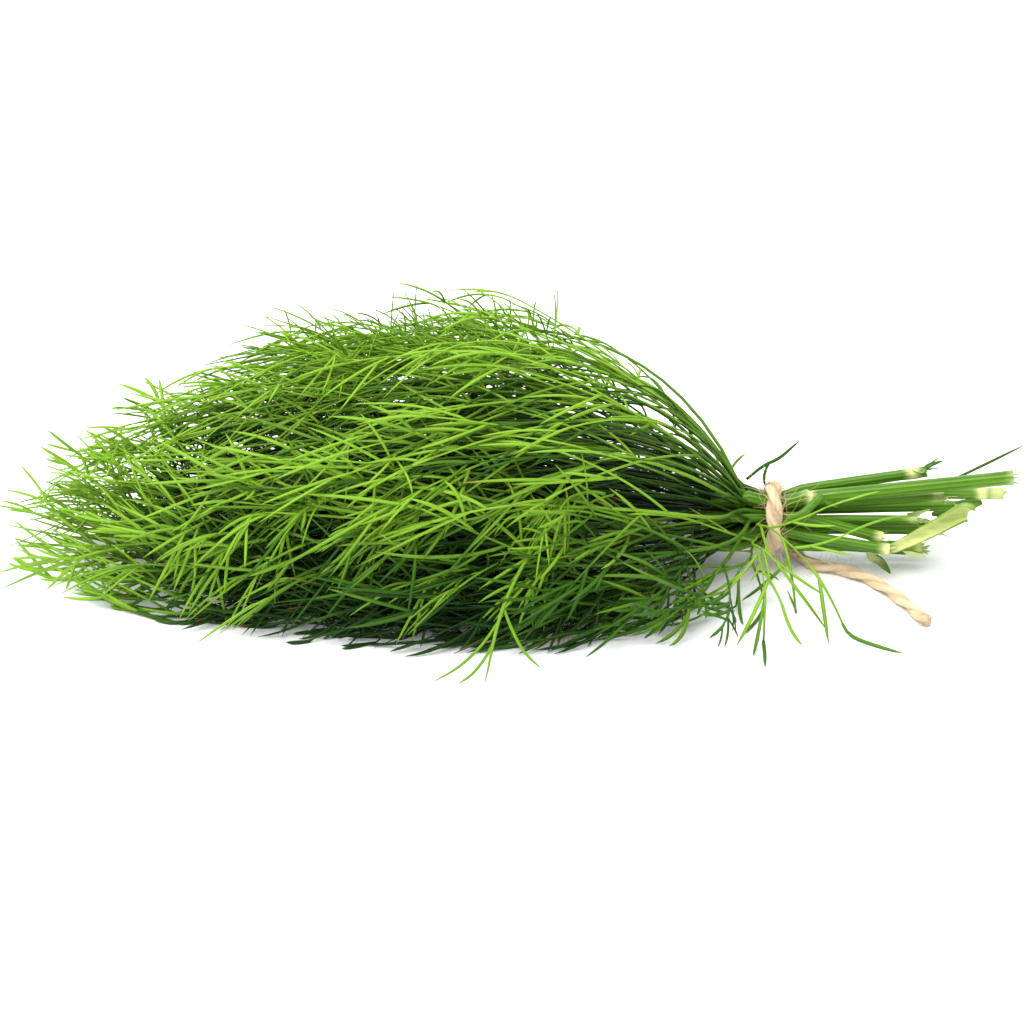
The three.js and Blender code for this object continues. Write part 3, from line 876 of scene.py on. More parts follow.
def leaf_material(settings):
    """Dill green, from deep blue-green to fresh yellow-green by each thread's tone, which holds painted
    light and shade from its place, with painted shade darker deep in the bunch, mottled a little, and
    browned at a few dry tips. Light shines through the fresh threads, a share * tone ** 1.7 of it,
    and little deep in the bunch."""
    g = Graph("dill leaf")
    deep, fresh, young = (tuple(c) for c in (settings.deep, settings.fresh, settings.young))
    # darkest is the colour of the painted shade deep in the bunch.
    darkest, dry_brown = tuple(c * 0.6 for c in deep), (0.28, 0.12, 0.03)
    tone = (g.attribute("tone") + (g.noise(45.0) - 0.5) * 0.3).clamped()
    green = g.ramp(tone, [(0.0, deep), (0.5, fresh), (1.0, young)])
    # Painted shade: threads deep in the bunch are mixed towards darkest, and let less light through.
    depth = (g.attribute("depth") * settings.painted_inner_shade).clamped()
    green = g.mix(depth, green, darkest)
    shine = (tone**1.7) * (1 - depth * 0.9) * settings.shine_through
    browned = (g.attribute("along") ** 8) * g.attribute("dry")
    return g.finish(
        through=young,
        share=shine,
        Base_Color=g.mix(browned, green, dry_brown),
        Roughness=0.42,
        Specular_IOR_Level=0.2,
        Normal=g.bump(g.noise(1100.0, 2.0), 0.2, 0.0002),
    )


def stem_material(name, settings):
    """Striped stem green with fine streaks along it, pale yellow at the joints and pale at the cuts."""
    g = Graph(name)
    light, dark, joint, core = (
        tuple(c) for c in (settings.light, settings.dark, settings.joint, settings.core)
    )
    streak = g.streaks(40.0, 900.0)
    stripe = g.attribute("stripe") + (streak - 0.5) * 0.8 + (g.noise(70.0) - 0.5) * 0.5
    green = g.ramp(stripe.clamped(), [(0.15, dark), (0.9, light)])
    ragged = g.attribute("pale") * 1.3 + (streak - 0.5) * 1.1 + (g.noise(500.0) - 0.5) * 0.6 - 0.12
    pale = ragged * (g.attribute("pale") ** 0.3) * 0.9
    green = g.mix(pale.clamped(), green, joint)
    return g.finish(
        through=light,
        share=0.12,
        Base_Color=g.mix((g.attribute("cut") * 0.8).clamped(), green, core),
        Roughness=0.42,
        Specular_IOR_Level=0.35,
        Normal=g.bump(streak + g.noise(1500.0) * 0.4, 0.35, 0.0003),
    )


def twine_material(settings):
    """Natural jute: fibres that run along the twisted plies, with painted shade between the plies."""
    g = Graph("jute twine")
    fibre, hairs = g.ply_fibres(9, 350), g.ply_fibres(26, 700)
    # Painted shade: darker deep between the plies.
    tone = fibre * 0.7 + hairs * 0.6 - g.attribute("groove") * 0.3 - 0.12
    stops = [(0.2, tuple(settings.dark)), (0.62, tuple(settings.light))]
    return g.finish(
        Base_Color=g.ramp(tone.clamped(), stops),
        Roughness=0.85,
        Specular_IOR_Level=0.2,
        Normal=g.bump(fibre * 0.6 + hairs, 0.7, 0.0005),
    )


def fibre_material(settings):
    """Single jute fibres, which let light through."""
    g = Graph("jute fibre")
    light, dark = tuple(settings.light), tuple(settings.dark)
    colour = g.mix(g.noise(300.0), light, dark)
    return g.finish(through=light, share=0.3, Base_Color=colour, Roughness=0.6)


# ---- Settings -----------------------------------------------------------------------------------


def length(name, description, default):
    return FloatProperty(name=name, description=description, default=default, unit="LENGTH")


def number(name, description, default):
    return FloatProperty(name=name, description=description, default=default)


def whole(name, description, default):
    return IntProperty(name=name, description=description, default=default)


def colour(name, description, *default):
    return FloatVectorProperty(
        name=name, description=description, default=default, subtype="COLOR")


class DillLeafSettings(bpy.types.PropertyGroup):
    axis_radius: length("Axis radius", "Half the width of a side axis at its base", 0.36 * MM)
    thread_radius: length("Thread radius", "Half the width of a leaf thread", 0.42 * MM)
    thread_length: length("Thread length", "Length of a usual leaf thread", 20 * MM)
    thread_spacing: length(
        "Thread spacing", "From one thread to the next along an axis", 4.3 * MM)
    stalks: whole("Stalks", "How many leaf stalks run from the twine into the crown", 84)
    top_sprays: whole("Top sprays", "How many fine sprays stand up from the crown", 76)
    side_sprays: whole(
        "Side sprays", "How many sprays hang down the crown's front, and its back", 26)
    comb: number("Comb", "How much threads bend towards the tips of the bunch", 0.35)
    droop: number("Droop", "How much threads bend down by their own weight", 0.28)
    stand_out: number(
        "Stand out", "How far from the axis a thread's tip may be before it bends back, as a part "
        "of the bunch's outside", 0.96)
    freedom: number("Freedom", "How much further than that a usual thread may stand out", 0.1)
    # Painted shade: how much darker the colour of threads deep in the bunch is made.
    painted_inner_shade: number("Inner shade", "How much darker threads are deep in the bunch", 1.8)
    shine_through: number(
        "Shine through", "Share of the light that shines through a young thread", 0.34)
    deep: colour("Deep green", "Colour of the darkest threads", 0.007, 0.037, 0.0007)
    fresh: colour("Fresh green", "Colour of most threads", 0.041, 0.127, 0.0022)
    young: colour("Young green", "Colour of the youngest threads", 0.30, 0.55, 0.035)


class DillStemSettings(bpy.types.PropertyGroup):
    light: colour("Light stripe", "Colour of a stem's light stripes", 0.135, 0.29, 0.004)
    dark: colour("Dark stripe", "Colour of a stem's dark stripes", 0.042, 0.145, 0.002)
    joint: colour("Joint", "Colour of a stem's joints and inner faces", 0.74, 0.79, 0.32)
    core: colour("Core", "Colour of the pith at a cut", 0.5, 0.68, 0.26)


class DillTwineSettings(bpy.types.PropertyGroup):
    light: colour("Light jute", "Colour of the jute's light fibres", 0.95, 0.77, 0.53)
    dark: colour("Dark jute", "Colour of the jute's dark fibres", 0.66, 0.45, 0.26)
    diameter: length("Diameter", "Across the twine", 2.7 * MM)
    pitch: length("Pitch", "Length in which the plies turn once", 16 * MM)
    fibres: whole("Fibres", "How many loose fibres stand off the wrap, and off the tail", 230)
    fibre_radius: length("Fibre radius", "Half the width of a loose fibre", 0.065 * MM)


class DillStageSettings(bpy.types.PropertyGroup):
    elevation: FloatProperty(
        name="Elevation", description="Height of the camera over the horizon", subtype="ANGLE",
        default=math.radians(24))
    distance: length("Distance", "From the camera to the bunch", 0.7)
    field: length("Field", "Width that the camera sees at the bunch", 0.2227)
    aim_height: length("Aim height", "Height that the camera looks at", 12.2 * MM)
    floor_size: length("Floor size", "Side of the pale floor", 6.0)


# ---- Making the pieces --------------------------------------------------------------------------

CROWN_LEAF = {
    "axes": 25, "first_axis": 58 * MM, "last_axis": 22 * MM, "bare": 9 * MM, "lift": 0.0,
    "forks": 1, "tone": 0.5, "thread_share": 1.0, "rib_radius": 0.5 * MM, "sparse": 1.0,
    "comb": 1.0, "held_back": 28 * MM, "held_in": True, "inset": 0.0, "thin": 1.0,
}
# How each kind of leaf is grown: what differs from a crown leaf, and the seed of its first leaf.
LEAF_KINDS = {
    "leaf_outer": ({"tone": 0.6, "lift": 0.35, "inset": 0.16}, 100),
    "leaf_middle": ({"held_back": 30 * MM}, 200),
    "leaf_inner": ({}, 300),
    "leaf_skirt": ({
        "axes": 5, "first_axis": 22 * MM, "last_axis": 13 * MM, "lift": 0.1, "forks": 0,
        "tone": 1.0, "thread_share": 0.9, "rib_radius": 0.36 * MM, "sparse": 2.2, "comb": 0.0,
        "held_back": 19 * MM, "held_in": False, "thin": 0.0,
    }, 400),
}

# Pale joints along the stems, in mm: distance from the tie, how far each spreads, how pale it is.
JOINTS = {
    "stem_01": [(30.5, 1.6, 1.0)],
    "stem_02": [(8.0, 1.0, 1.0), (51.0, 1.0, 0.5)],
    "stem_03": [(23.2, 1.8, 0.85)],
    "stem_04": [(24.6, 1.8, 0.9)],
    "stem_05": [(22.8, 1.5, 0.8), (32.0, 1.4, 0.6)],
    "stem_06": [(23.6, 1.4, 0.7), (33.0, 1.5, 0.5)],
    "stem_07": [(38.0, 3.0, 0.45)],
    "stem_09": [(46.4, 1.3, 1.0), (50.0, 2.4, 0.75)],
    "stem_10": [(36.0, 2.4, 0.5)],
    "stem_11": [(30.5, 2.0, 0.5)],
    "stem_12": [(33.5, 2.0, 0.55)],
}

# The tail's route, from the tie on the surface: to the cut ends, to the back, and up from lying.
TAIL_LYING = 1.4 * MM
TAIL_ROUTE = np.array([
    (3.5, 8.1, 1.6), (4.4, 6.5, 0.7), (5.2, 4.6, 0.2), (5.9, 2.4, 0), (6.6, 0.2, 0),
    (7.6, -1.9, 0), (9.2, -3.7, 0), (11.4, -5, 0), (13.8, -5.9, 0), (16.3, -7.3, 0),
    (18.8, -9.4, 0), (21.1, -12.1, 0), (23.2, -15.2, 0), (25, -18.6, 0), (26.6, -22.1, 0),
    (28, -25.6, 0), (29.3, -29, 0), (30.6, -32.2, 0),
]) * MM + [TIE[0], TIE[1], TAIL_LYING]

# Torn flakes of stem wall: a route from the tie on the surface, widths along it, in mm, how far the
# flake curls, which way its back faces, how pale it is and its stripe.
FLAKES = (
    ([(35.5, 4.6, 9.6), (39, 5, 10), (43, 5.6, 11.2), (46.5, 6, 12.2)],
     [0.8, 2.8, 3.0, 1.6], 1.0, (0.1, 0.9, -0.5), 0.15, 0.5),
    ([(28.2, -4.6, 5.4), (30, -5, 4.6), (32.8, -5.2, 4.3)],
     [1.2, 2.4, 1.5], 0.8, (0, 0.8, 0.6), 1.0, 0.9),
    ([(31.0, 1.0, 10.2), (33, 0.6, 10.0), (36.0, 0.4, 9.2)],
     [0.8, 1.4, 0.5], 0.9, (0, 0.9, 0.3), 0.7, 0.7),
    ([(29.0, -3.4, 13.2), (31.5, -3.6, 13.6), (34.0, -3.4, 14.4)],
     [0.7, 1.2, 0.4], 0.9, (0, 0.9, 0.3), 0.8, 0.7),
)

# A long fork that hangs down the front onto the surface: a main thread and three that leave it.
FRONT_FORK = np.array([
    [(9, -29, 23), (3, -41, 20), (-1.8, -49.3, 13), (-5.5, -60, 1)],
    [(-1.8, -49.3, 13), (0, -51.5, 9), (2.6, -54, 5), (6, -56.5, 2.5)],
    [(-2.4, -50.6, 11), (-6, -53.2, 6.5), (-10.5, -56, 3), (-16, -59, 0.8)],
    [(-3.4, -53.2, 7.6), (-5.8, -55.6, 4), (-8.4, -58, 1.8), (-11, -60, 0.8)],
]) * MM


def grow_leaves(context, kind):
    """Leaf pieces for all frame leaves of a kind, further forward ones a little fresher."""
    settings = context.scene.dill_leaf
    material = bpy.data.materials.get("dill leaf") or leaf_material(settings)
    changes, seed = LEAF_KINDS[kind]
    plan = {**CROWN_LEAF, **changes}
    for order, name in enumerate(nodes_called(kind)):
        line = midrib(name, 28, plan["held_back"], plan["inset"])
        front = -line[len(line) // 2, 1] / CROWN_HALF_WIDTH
        own_plan = {**plan, "tone": plan["tone"] + 0.1 * front}
        skin = grow_leaf(line, settings, seed + order, own_plan)
        skin.build("dill_" + name, material, "leaf", name)


def soft_sun(context, name, place, degrees, power, tint):
    """An even light from one side, as from a large softbox, that faces the bunch."""
    data = bpy.data.lights.new(name, "SUN")
    data.angle, data.energy, data.color = math.radians(degrees), power, tint
    light = bpy.data.objects.new(name, data)
    light.location = place
    light.rotation_euler = (-Vector(place)).to_track_quat("-Z", "Y").to_euler()
    context.scene.collection.objects.link(light)


class DILL_OT_stage(bpy.types.Operator):
    """Lay the floor, hang the soft lights and set the camera"""

    bl_idname = "dill.stage"
    bl_label = "Stage"

    def execute(self, context):
        settings = context.scene.dill_stage
        floor_mesh = bpy.data.meshes.new("floor")
        half = settings.floor_size / 2
        square = [(-half, -half, 0), (half, -half, 0), (half, half, 0), (-half, half, 0)]
        floor_mesh.from_pydata(square, [], [(0, 1, 2, 3)])
        floor = bpy.data.objects.new("floor", floor_mesh)
        context.scene.collection.objects.link(floor)
        floor_mesh.materials.append(Graph("pale floor").finish(
            Base_Color=(0.93, 0.945, 0.955, 1), Roughness=0.7, Specular_IOR_Level=0.2
        ))

        world = bpy.data.worlds.new("studio")
        world.use_nodes = True
        background = world.node_tree.nodes["Background"].inputs
        background["Color"].default_value = (0.97, 0.99, 1, 1)
        background["Strength"].default_value = 0.95
        context.scene.world = world
        soft_sun(context, "key", (-0.35, -0.3, 0.9), 55, 3.4, (1, 0.985, 0.95))
        soft_sun(context, "back", (-0.2, 0.75, 0.6), 80, 1.6, (1, 1, 1))

        camera_data = bpy.data.cameras.new("camera")
        camera = bpy.data.objects.new("camera", camera_data)
        context.scene.collection.objects.link(camera)
        tilt = settings.elevation
        back = Vector((0, -math.cos(tilt), math.sin(tilt)))
        camera.location = Vector((0, 0, settings.aim_height)) + back * settings.distance
        camera.rotation_euler = (math.pi / 2 - tilt, 0, 0)
        camera_data.lens = camera_data.sensor_width * settings.distance / settings.field
        camera_data.clip_start, camera_data.clip_end = 0.01, 20
        context.scene.camera = camera
        context.scene.view_settings.view_transform = "Standard"
        return {"FINISHED"}


class DILL_OT_tail(bpy.types.Operator):
    """Lay the twine's long loose end on the surface"""

    bl_idname = "dill.tail"
    bl_label = "Twine tail"

    def execute(self, context):
        settings = context.scene.dill_twine
        line = along_curve(TAIL_ROUTE, 110)
        skin = Skin()
        radius = np.full(len(line), settings.diameter / 2)
        radius[-1] *= 0.93
        twine_skin(skin, line, radius, 0.95, settings.pitch, UP)
        tail = skin.build("dill_twine_tail", twine_material(settings), "twine", "twine_tail")
        return {"FINISHED"}


def wrap_line(count):
    """The middle of the wrap: a circle round the stems, leaning as the frame's wrap does, that
    wanders a little."""
    corners = node_points("twine_wrap") - TIE
    lean = (corners[:, 0] @ corners[:, 2]) / (corners[:, 2] @ corners[:, 2])
    turn = np.linspace(0, 2 * np.pi, count, endpoint=False)
    radius = WRAP_MIDDLE + 0.12 * MM * np.sin(3 * turn + 1)
    ring = np.stack([
        lean * WRAP_MIDDLE * np.sin(turn) + 0.25 * MM * np.sin(2 * turn + 0.6),
        radius * np.cos(turn),
        radius * np.sin(turn),
    ], axis=1)
    return TIE + ring


def knot_lines():
    """The knot, a trefoil at the back of the wrap and low, and the short stub that leaves it."""
    low = math.radians(-30)
    middle = TIE + np.array([0.11, math.cos(low), math.sin(low)]) * (WRAP_OUTSIDE + 2.8 * MM)
    turn = np.linspace(0, 2 * np.pi, 110, endpoint=False)
    knot = middle + 0.78 * MM * np.stack([
        np.sin(turn) + 2 * np.sin(2 * turn),
        1.5 * np.sin(3 * turn),
        np.cos(turn) - 2 * np.cos(2 * turn),
    ], axis=1)
    corners = node_points("twine_knot")
    tip = corners[np.argmax(np.linalg.norm(corners - middle, axis=1))]
    halfway = middle * 0.5 + tip * 0.5 + 0.5 * MM * UP
    return knot, along_curve(np.array([middle, halfway, tip]), 30)


class DILL_OT_wrap(bpy.types.Operator):
    """Wind the twine round the stems, with its knot and loose fibres"""

    bl_idname = "dill.wrap"
    bl_label = "Twine wrap"

    def execute(self, context):
        settings = context.scene.dill_twine
        material = bpy.data.materials["jute twine"]
        ring = wrap_line(170)
        pitch = 2 * np.pi * WRAP_MIDDLE / 3
        skin = Skin()
        twine_skin(skin, ring, 1.12 * MM, 1.62, pitch, np.array([1.0, 0, 0]), closed=True)
        skin.build("dill_twine_wrap", material, "twine", "twine_wrap")

        knot, stub = knot_lines()
        skin = Skin()
        twine_skin(skin, knot, 1.05 * MM, 1.0, 6 * MM, np.array([0, 1.0, 0.01]), closed=True)
        twine_skin(skin, stub, 1.1 * MM, 1.0, 9 * MM, UP)
        skin.build("dill_twine_knot", material, "twine", "twine_knot")
        self.loose_fibres(settings, ring, stub)
        return {"FINISHED"}

    @staticmethod
    def loose_fibres(settings, ring, stub):
        """Fine fibres that start in the twine, lean along it and curl off to either side: point =
        start + length * (s * way + s ** 2 * curl + s ** 3 * second curl)."""
        rng = np.random.default_rng(5)
        steps = 9
        starts, ways, lengths = [], [], []
        for path, count, longest in (
            (ring, settings.fibres, 8.5 * MM),
            (stub, settings.fibres // 5, 3.0 * MM),
            (along_curve(TAIL_ROUTE, 110), settings.fibres, 3.0 * MM),
        ):
            spot = rng.integers(1, len(path) - 1, count)
            if path is not ring:
                spot[: count // 4] = len(path) - 2  # a quarter of them fray its end
            forward = unit(path[spot + 1] - path[spot - 1])
            off = rng.normal(size=(count, 3))
            off = unit(off - (off * forward).sum(1, keepdims=True) * forward)
            sign = np.where(rng.random(count) < 0.5, 1, -1)[:, None]
            starts.append(path[spot] + off * settings.diameter * 0.38)
            ways.append(unit(off * 0.9 + sign * forward * 0.9))
            lengths.append(rng.uniform(0.25, 1.0, count) ** 1.5 * longest)
        start, way, length = (np.concatenate(v) for v in (starts, ways, lengths))
        s = np.linspace(0, 1, steps)[None, :, None]
        curl = rng.normal(size=(len(start), 2, 3)) * 0.8
        points = start[:, None] + length[:, None, None] * (
            s * way[:, None] + s**2 * curl[:, :1] * 0.6 + s**3 * curl[:, 1:] * 0.5
        )
        radius = np.full((len(start), steps), settings.fibre_radius) * np.linspace(1, 0.5, steps)
        points = keep_off_floor(points, 0.1 * MM)
        corners, quads, caps, _ = sweep(points, radius, unit(curl[:, 0]), 3)
        skin = Skin()
        skin.add(corners, quads, caps)
        skin.build("dill_twine_fibres", fibre_material(settings), "twine")


class DILL_OT_stems(bpy.types.Operator):
    """Make the cut stems with their ridges, joints and frayed ends"""

    bl_idname = "dill.stems"
    bl_label = "Stems"

    def execute(self, context):
        material = stem_material("dill stem", context.scene.dill_stem)
        rng = np.random.default_rng(11)
        frays = Skin()
        for order, name in enumerate(nodes_called("stem_")):
            line, radius = line_through(name, 64, 1.9 * MM, 4.2 * MM)
            joints = [(place * MM, width * MM, pale) for place, width, pale in JOINTS.get(name, ())]
            skin = Skin()
            stem_skin(skin, line, radius, 40 + order, joints)
            skin.build("dill_" + name, material, "stem", name)
            self.fray(frays, line, radius, rng)
        frays.build("dill_stem_frays", material, "stem")
        return {"FINISHED"}

    @staticmethod
    def fray(frays, line, radius, rng):
        """Short slivers of torn stem wall round a cut."""
        count, steps = 7, 6
        turn = rng.uniform(0, 2 * np.pi, count)
        aside = np.stack([np.zeros(count), np.cos(turn), np.sin(turn)], axis=1)
        start = line[-1] + aside * radius * 0.8 - [0.5 * MM, 0, 0]
        way = unit(np.array([1.0, 0, 0]) + aside * rng.uniform(0, 0.6, (count, 1)))
        length = rng.uniform(0.8, 2.6, count) * MM
        s = np.linspace(0, 1, steps)[None, :, None]
        bend = rng.normal(size=(count, 1, 3)) * 0.3
        points = start[:, None] + length[:, None, None] * (s * way[:, None] + s**2 * bend)
        width = thread_radius(rng.uniform(0.12, 0.3, count) * MM, steps)
        corners, quads, caps, part = sweep(keep_off_floor(points, 0.2 * MM), width, aside, 5, 0.4)
        frays.add(corners, quads, caps, stripe=0.6, pale=0.25 + 0.6 * part, cut=0.0)


class DILL_OT_torn(bpy.types.Operator):
    """Make the bent petiole, the split stem and the torn sheaths"""

    bl_idname = "dill.torn"
    bl_label = "Torn pieces"

    def execute(self, context):
        material = bpy.data.materials["dill stem"]
        for make in (self.petiole, self.split_stem, self.top_sheath, self.low_sheath, self.flakes):
            make(material)
        return {"FINISHED"}

    @staticmethod
    def petiole(material):
        """A bent leaf stalk with a sliver torn off its end."""
        steps = 12
        line, radius = line_through("bent_petiole", 40, 0.9 * MM)
        skin = Skin()
        widening = radius * np.linspace(1.05, 0.95, len(line))
        stem_skin(skin, line, widening, 71, cut=False, sides=24)
        start = line[-1] - [1.0 * MM, 0, 0]
        way = np.array([0.75, -0.35, -0.6])
        s = np.linspace(0, 1, steps)[:, None]
        sliver = start + 4.6 * MM * (s * way + s**2 * np.array([0.25, 0.1, 0.12]))
        width = thread_radius(np.array([0.45 * MM]), steps)
        corners, quads, caps, _ = sweep(sliver[None], width, np.array([[0, -1.0, 0.3]]), 8, 0.5)
        skin.add(corners, quads, caps, stripe=0.2, pale=0.0, cut=0.0)
        skin.build("dill_bent_petiole", material, "stem", "bent_petiole")

    @staticmethod
    def split_stem(material):
        """A stem split open along one side, wider and flatter towards its cut end."""
        line, _ = line_through("split_stem", 40, 1.6 * MM)
        s = np.linspace(0, 1, len(line))
        width = (2.0 + 2.3 * s**0.7) * MM
        curl = 1.45 + 0.95 * s**0.8
        skin = Skin()
        strip_skin(skin, line, width, 0.5 * MM, curl, (0.4, 0.85, -0.15), 1.0 - 0.3 * s, stripe=1.0)
        skin.build("dill_split_stem", material, "stem", "split_stem")

    @staticmethod
    def top_sheath(material):
        """Thin strips torn off at the top stem's joint."""
        line, _ = line_through("sheath_top", 10, 1.2 * MM)
        rng = np.random.default_rng(21)
        count, steps = 6, 14
        start = line[0] - [2.6 * MM, 0, 0.4 * MM] + rng.normal(size=(count, 3)) * 0.5 * MM
        way = unit(line[-1] - line[0]) + rng.normal(size=(count, 3)) * [0.05, 0.16, 0.1]
        length = rng.uniform(4, 8.5, count) * MM
        s = np.linspace(0, 1, steps)[None, :, None]
        wave = rng.normal(size=(count, 1, 3)) * 0.14
        points = start[:, None] + length[:, None, None] * (
            s * way[:, None] + wave * np.sin(4 * s + rng.uniform(0, 3, (count, 1, 1)))
        )
        width = thread_radius(rng.uniform(0.25, 0.55, count) * MM, steps)
        corners, quads, caps, part = sweep(points, width, rng.normal(size=(count, 3)), 8, 0.35)
        skin = Skin()
        shade = np.repeat(rng.uniform(0, 0.5, count), len(corners) // count)
        skin.add(corners, quads, caps, stripe=shade, pale=0.7 * (1 - part) ** 2, cut=0.0)
        skin.build("dill_sheath_top", material, "sheath", "sheath_top")

    @staticmethod
    def low_sheath(material):
        """A folded leaf base that hangs from the lower joint."""
        line, _ = line_through("sheath_low", 24, 0.8 * MM)
        if line[0, 2] < line[-1, 2]:
            line = line[::-1]
        start = line[:1] + np.array([-0.5, 0.4, 1.8]) * MM
        line = along_curve(np.concatenate([start, line[::4]]), 24)
        s = np.linspace(0, 1, len(line))
        width = (2.4 * (1 - s**3) + 0.4) * MM
        skin = Skin()
        strip_skin(skin, line, width, 0.22 * MM, 1.25, (0.5, 1.0, 0.4), 0.9 * (1 - s), stripe=0.3)
        skin.build("dill_sheath_low", material, "sheath", "sheath_low")

    @staticmethod
    def flakes(material):
        """Torn flakes of stem wall: one along the long thin stem, the others at the cuts."""
        skin = Skin()
        parts = np.linspace(0, 1, 26)
        for route, widths, curl, back, pale, stripe in FLAKES:
            line = along_curve(np.array(route) * MM + [TIE[0], TIE[1], 0], len(parts))
            width = np.interp(parts, np.linspace(0, 1, len(widths)), widths) * MM
            strip_skin(skin, line, width, 0.22 * MM, curl, back, pale, stripe)
        skin.build("dill_stem_flakes", material, "sheath")


class DILL_OT_crown_leaves(bpy.types.Operator):
    """Grow the crown's leaves, from its outside to its core"""

    bl_idname = "dill.crown_leaves"
    bl_label = "Crown leaves"

    def execute(self, context):
        for kind in ("leaf_outer", "leaf_middle", "leaf_inner"):
            grow_leaves(context, kind)
        return {"FINISHED"}


class DILL_OT_stalks(bpy.types.Operator):
    """Run the leaf stalks from the twine into the crown, each with a few forks of threads"""

    bl_idname = "dill.stalks"
    bl_label = "Leaf stalks"

    def execute(self, context):
        settings = context.scene.dill_leaf
        rng = np.random.default_rng(31)
        skin = Skin()
        count, steps, forks = settings.stalks, 26, 9
        lines = stalk_lines(rng, count, steps, 55 * MM, 115 * MM)
        normal = np.tile(UP, (count, 1)) + rng.normal(0, 0.3, (count, 3))
        stalks = {"points": lines, "normal": normal}
        tone = rng.uniform(0.3, 0.85, count)

        # Painted shade: stalks and their threads are darker deep in the bunch.
        def add(strands, radius, tone, sides, room):
            settle(strands, radius, room)
            skin.add_leaf_tubes(
                strands, radius, tone, sides, 0.75,
                shades=lambda c: (0.0, 0.8 * np.clip(1 - crown_ratio(c), 0, 1)),
            )

        radius = np.linspace(1, 0.6, steps) * rng.uniform(0.2, 0.46, (count, 1)) * MM
        add(stalks, radius, tone, 6, None)
        index = np.repeat(np.arange(count), forks)
        part = np.tile(np.linspace(0.42, 0.999, forks), count)
        turn = turned(rng, to_both_sides(np.arange(index.size)), 26, 9)
        length = settings.thread_length * rng.uniform(0.7, 1.3, index.size)
        wander = rng.normal(size=(index.size, 3)) * [0.1, 0.2, 0.2]
        roll = rng.normal(0, 0.7, index.size)
        threads = sprout(stalks, index, part, turn, roll, length, wander, 9, settings)
        width = thread_radius(settings.thread_radius * rng.uniform(0.6, 1, index.size), 9)
        tone = tone[index] + rng.normal(0, 0.1, index.size)
        add(threads, width, tone, 4, settings.stand_out)
        skin.build("dill_leaf_stalks", bpy.data.materials["dill leaf"], "leaf")
        return {"FINISHED"}


class DILL_OT_sprays(bpy.types.Operator):
    """Stand fine sprays up from the crown's top and hang others down its front and back"""

    bl_idname = "dill.sprays"
    bl_label = "Sprays"

    def execute(self, context):
        settings = context.scene.dill_leaf
        material = bpy.data.materials["dill leaf"]
        rng = np.random.default_rng(57)
        top, side = settings.top_sprays, settings.side_sprays
        on_top, all_along = (44 * MM, 94 * MM), (30 * MM, 140 * MM)
        for name, count, angles, distances, lean, *looks in (
            ("top", top, (0.4, 1.75), on_top, 1.0, 24 * MM, 0.8, 0.26 * MM, -0.3),
            ("front", side, (2.45, 2.95), all_along, 0.5, 21 * MM, 0.85, 0.48 * MM, 0.75),
            ("back", side, (0.2, 0.7), all_along, 0.5, 19 * MM, 0.6, 0.42 * MM, 0.6),
        ):
            roots = spray_roots(rng, count, angles, distances, lean)
            skin = Skin()
            grow_sprays(skin, roots, settings, rng, *looks)
            if name == "front":
                lines = np.stack([along_curve(route, 16) for route in FRONT_FORK])
                fork = {"points": lines, "normal": np.tile(UP, (len(lines), 1))}
                width = thread_radius(np.full(len(lines), 0.46 * MM), 16)
                skin.add_leaf_tubes(fork, width, 0.75, 6, 0.6)
            skin.build("dill_sprays_" + name, material, "leaf")
        return {"FINISHED"}


class DILL_OT_short_leaves(bpy.types.Operator):
    """Grow the sparse leaves that hang beside the tie"""

    bl_idname = "dill.short_leaves"
    bl_label = "Short leaves"

    def execute(self, context):
        grow_leaves(context, "leaf_skirt")
        return {"FINISHED"}


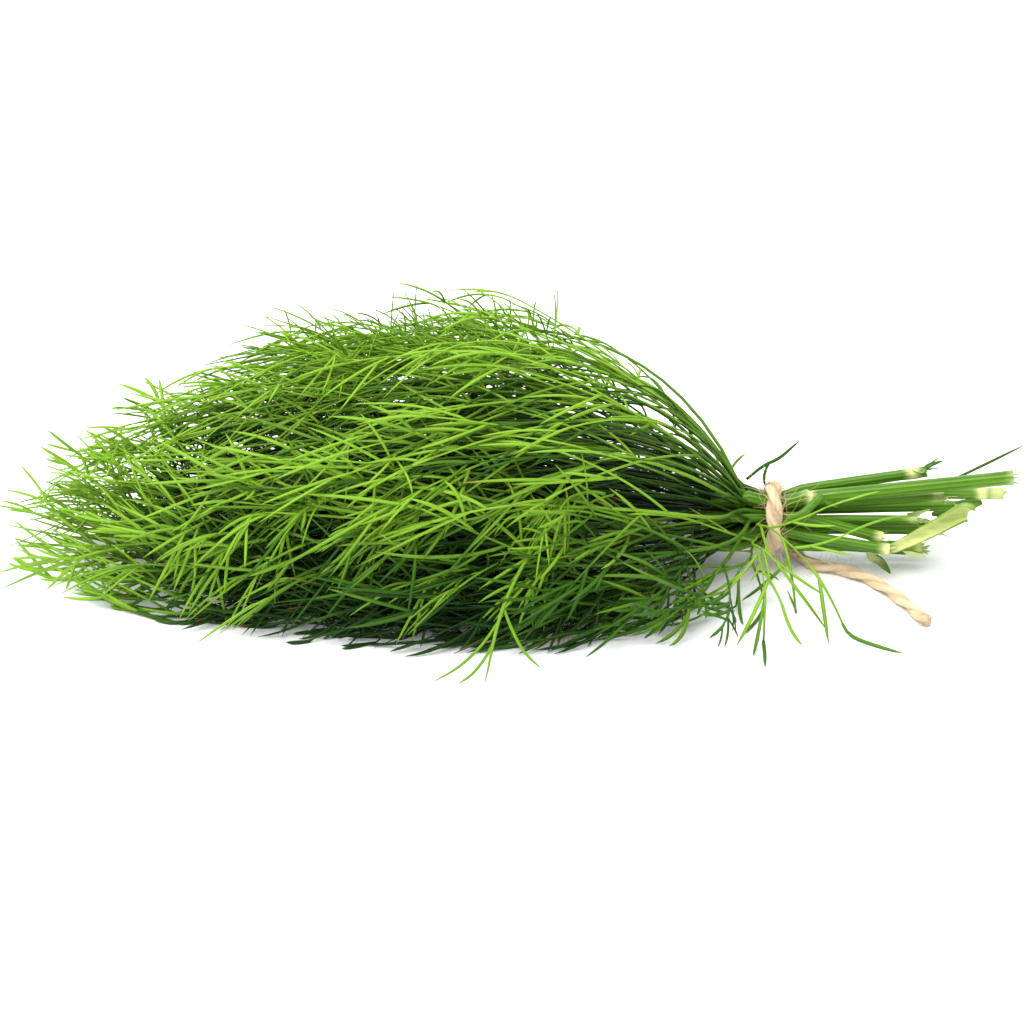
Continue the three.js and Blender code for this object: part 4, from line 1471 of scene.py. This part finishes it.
class DILL_OT_stray_threads(bpy.types.Operator):
    """Grow the forked thread over the tie, and the lone thread that starts on the nearest stem"""

    bl_idname = "dill.stray_threads"
    bl_label = "Stray threads"

    def execute(self, context):
        over_tie, _ = line_through("leaf_top_spray", 20, 2.0 * MM)
        foot = TIE + [-1.6 * MM, 0, 0.92 * WRAP_OUTSIDE]
        s = np.linspace(0, 1, 12)[:, None]
        leg = over_tie[8] * (1 - s) + foot * s - 2.4 * MM * s * (1 - s) * [1, 0, 0]
        self.build("leaf_top_spray", (over_tie, 0.42 * MM), (leg, 0.36 * MM))

        lone, _ = line_through("leaf_stray", 20, 2.0 * MM)
        stems = np.concatenate([node_points(stem) for stem in nodes_called("stem_")])
        foot = stems[np.argmin(np.linalg.norm(stems - lone[0], axis=1))]
        lone = along_curve(np.concatenate([[foot], lone[1::6]]), 20)
        self.build("leaf_stray", (lone, 0.36 * MM))
        return {"FINISHED"}

    @staticmethod
    def build(name, *threads):
        """A piece of single threads, each a line and its radius."""
        skin = Skin()
        for line, radius in threads:
            strand = {"points": line[None], "normal": np.array([[0, -1.0, 0.4]])}
            width = thread_radius(np.array([radius]), len(line))
            skin.add_leaf_tubes(strand, width, 0.3, 8, 0.7)
        skin.build("dill_" + name, bpy.data.materials["dill leaf"], "leaf", name)


class DILL_PT_panel(bpy.types.Panel):
    """Lists the steps that make the bunch"""

    bl_label = "Dill"
    bl_idname = "DILL_PT_panel"
    bl_space_type = "VIEW_3D"
    bl_region_type = "UI"
    bl_category = "Dill"

    def draw(self, context):
        for step in STEPS:
            self.layout.operator(step.bl_idname)


STEPS = (
    DILL_OT_stage,
    DILL_OT_tail,
    DILL_OT_wrap,
    DILL_OT_stems,
    DILL_OT_torn,
    DILL_OT_crown_leaves,
    DILL_OT_stalks,
    DILL_OT_sprays,
    DILL_OT_short_leaves,
    DILL_OT_stray_threads,
)
GROUPS = {
    "dill_leaf": DillLeafSettings,
    "dill_stem": DillStemSettings,
    "dill_twine": DillTwineSettings,
    "dill_stage": DillStageSettings,
}
CLASSES = (*GROUPS.values(), *STEPS, DILL_PT_panel)


def register():
    for kind in CLASSES:
        bpy.utils.register_class(kind)
    for name, group in GROUPS.items():
        setattr(bpy.types.Scene, name, PointerProperty(type=group))


def unregister():
    for name in GROUPS:
        delattr(bpy.types.Scene, name)
    for kind in reversed(CLASSES):
        bpy.utils.unregister_class(kind)


def main():
    register()
    bpy.ops.dill.stage()
    bpy.ops.dill.tail()
    bpy.ops.dill.wrap()
    bpy.ops.dill.stems()
    bpy.ops.dill.torn()
    bpy.ops.dill.crown_leaves()
    bpy.ops.dill.stalks()
    bpy.ops.dill.sprays()
    bpy.ops.dill.short_leaves()
    bpy.ops.dill.stray_threads()


if __name__ == "__main__":
    main()
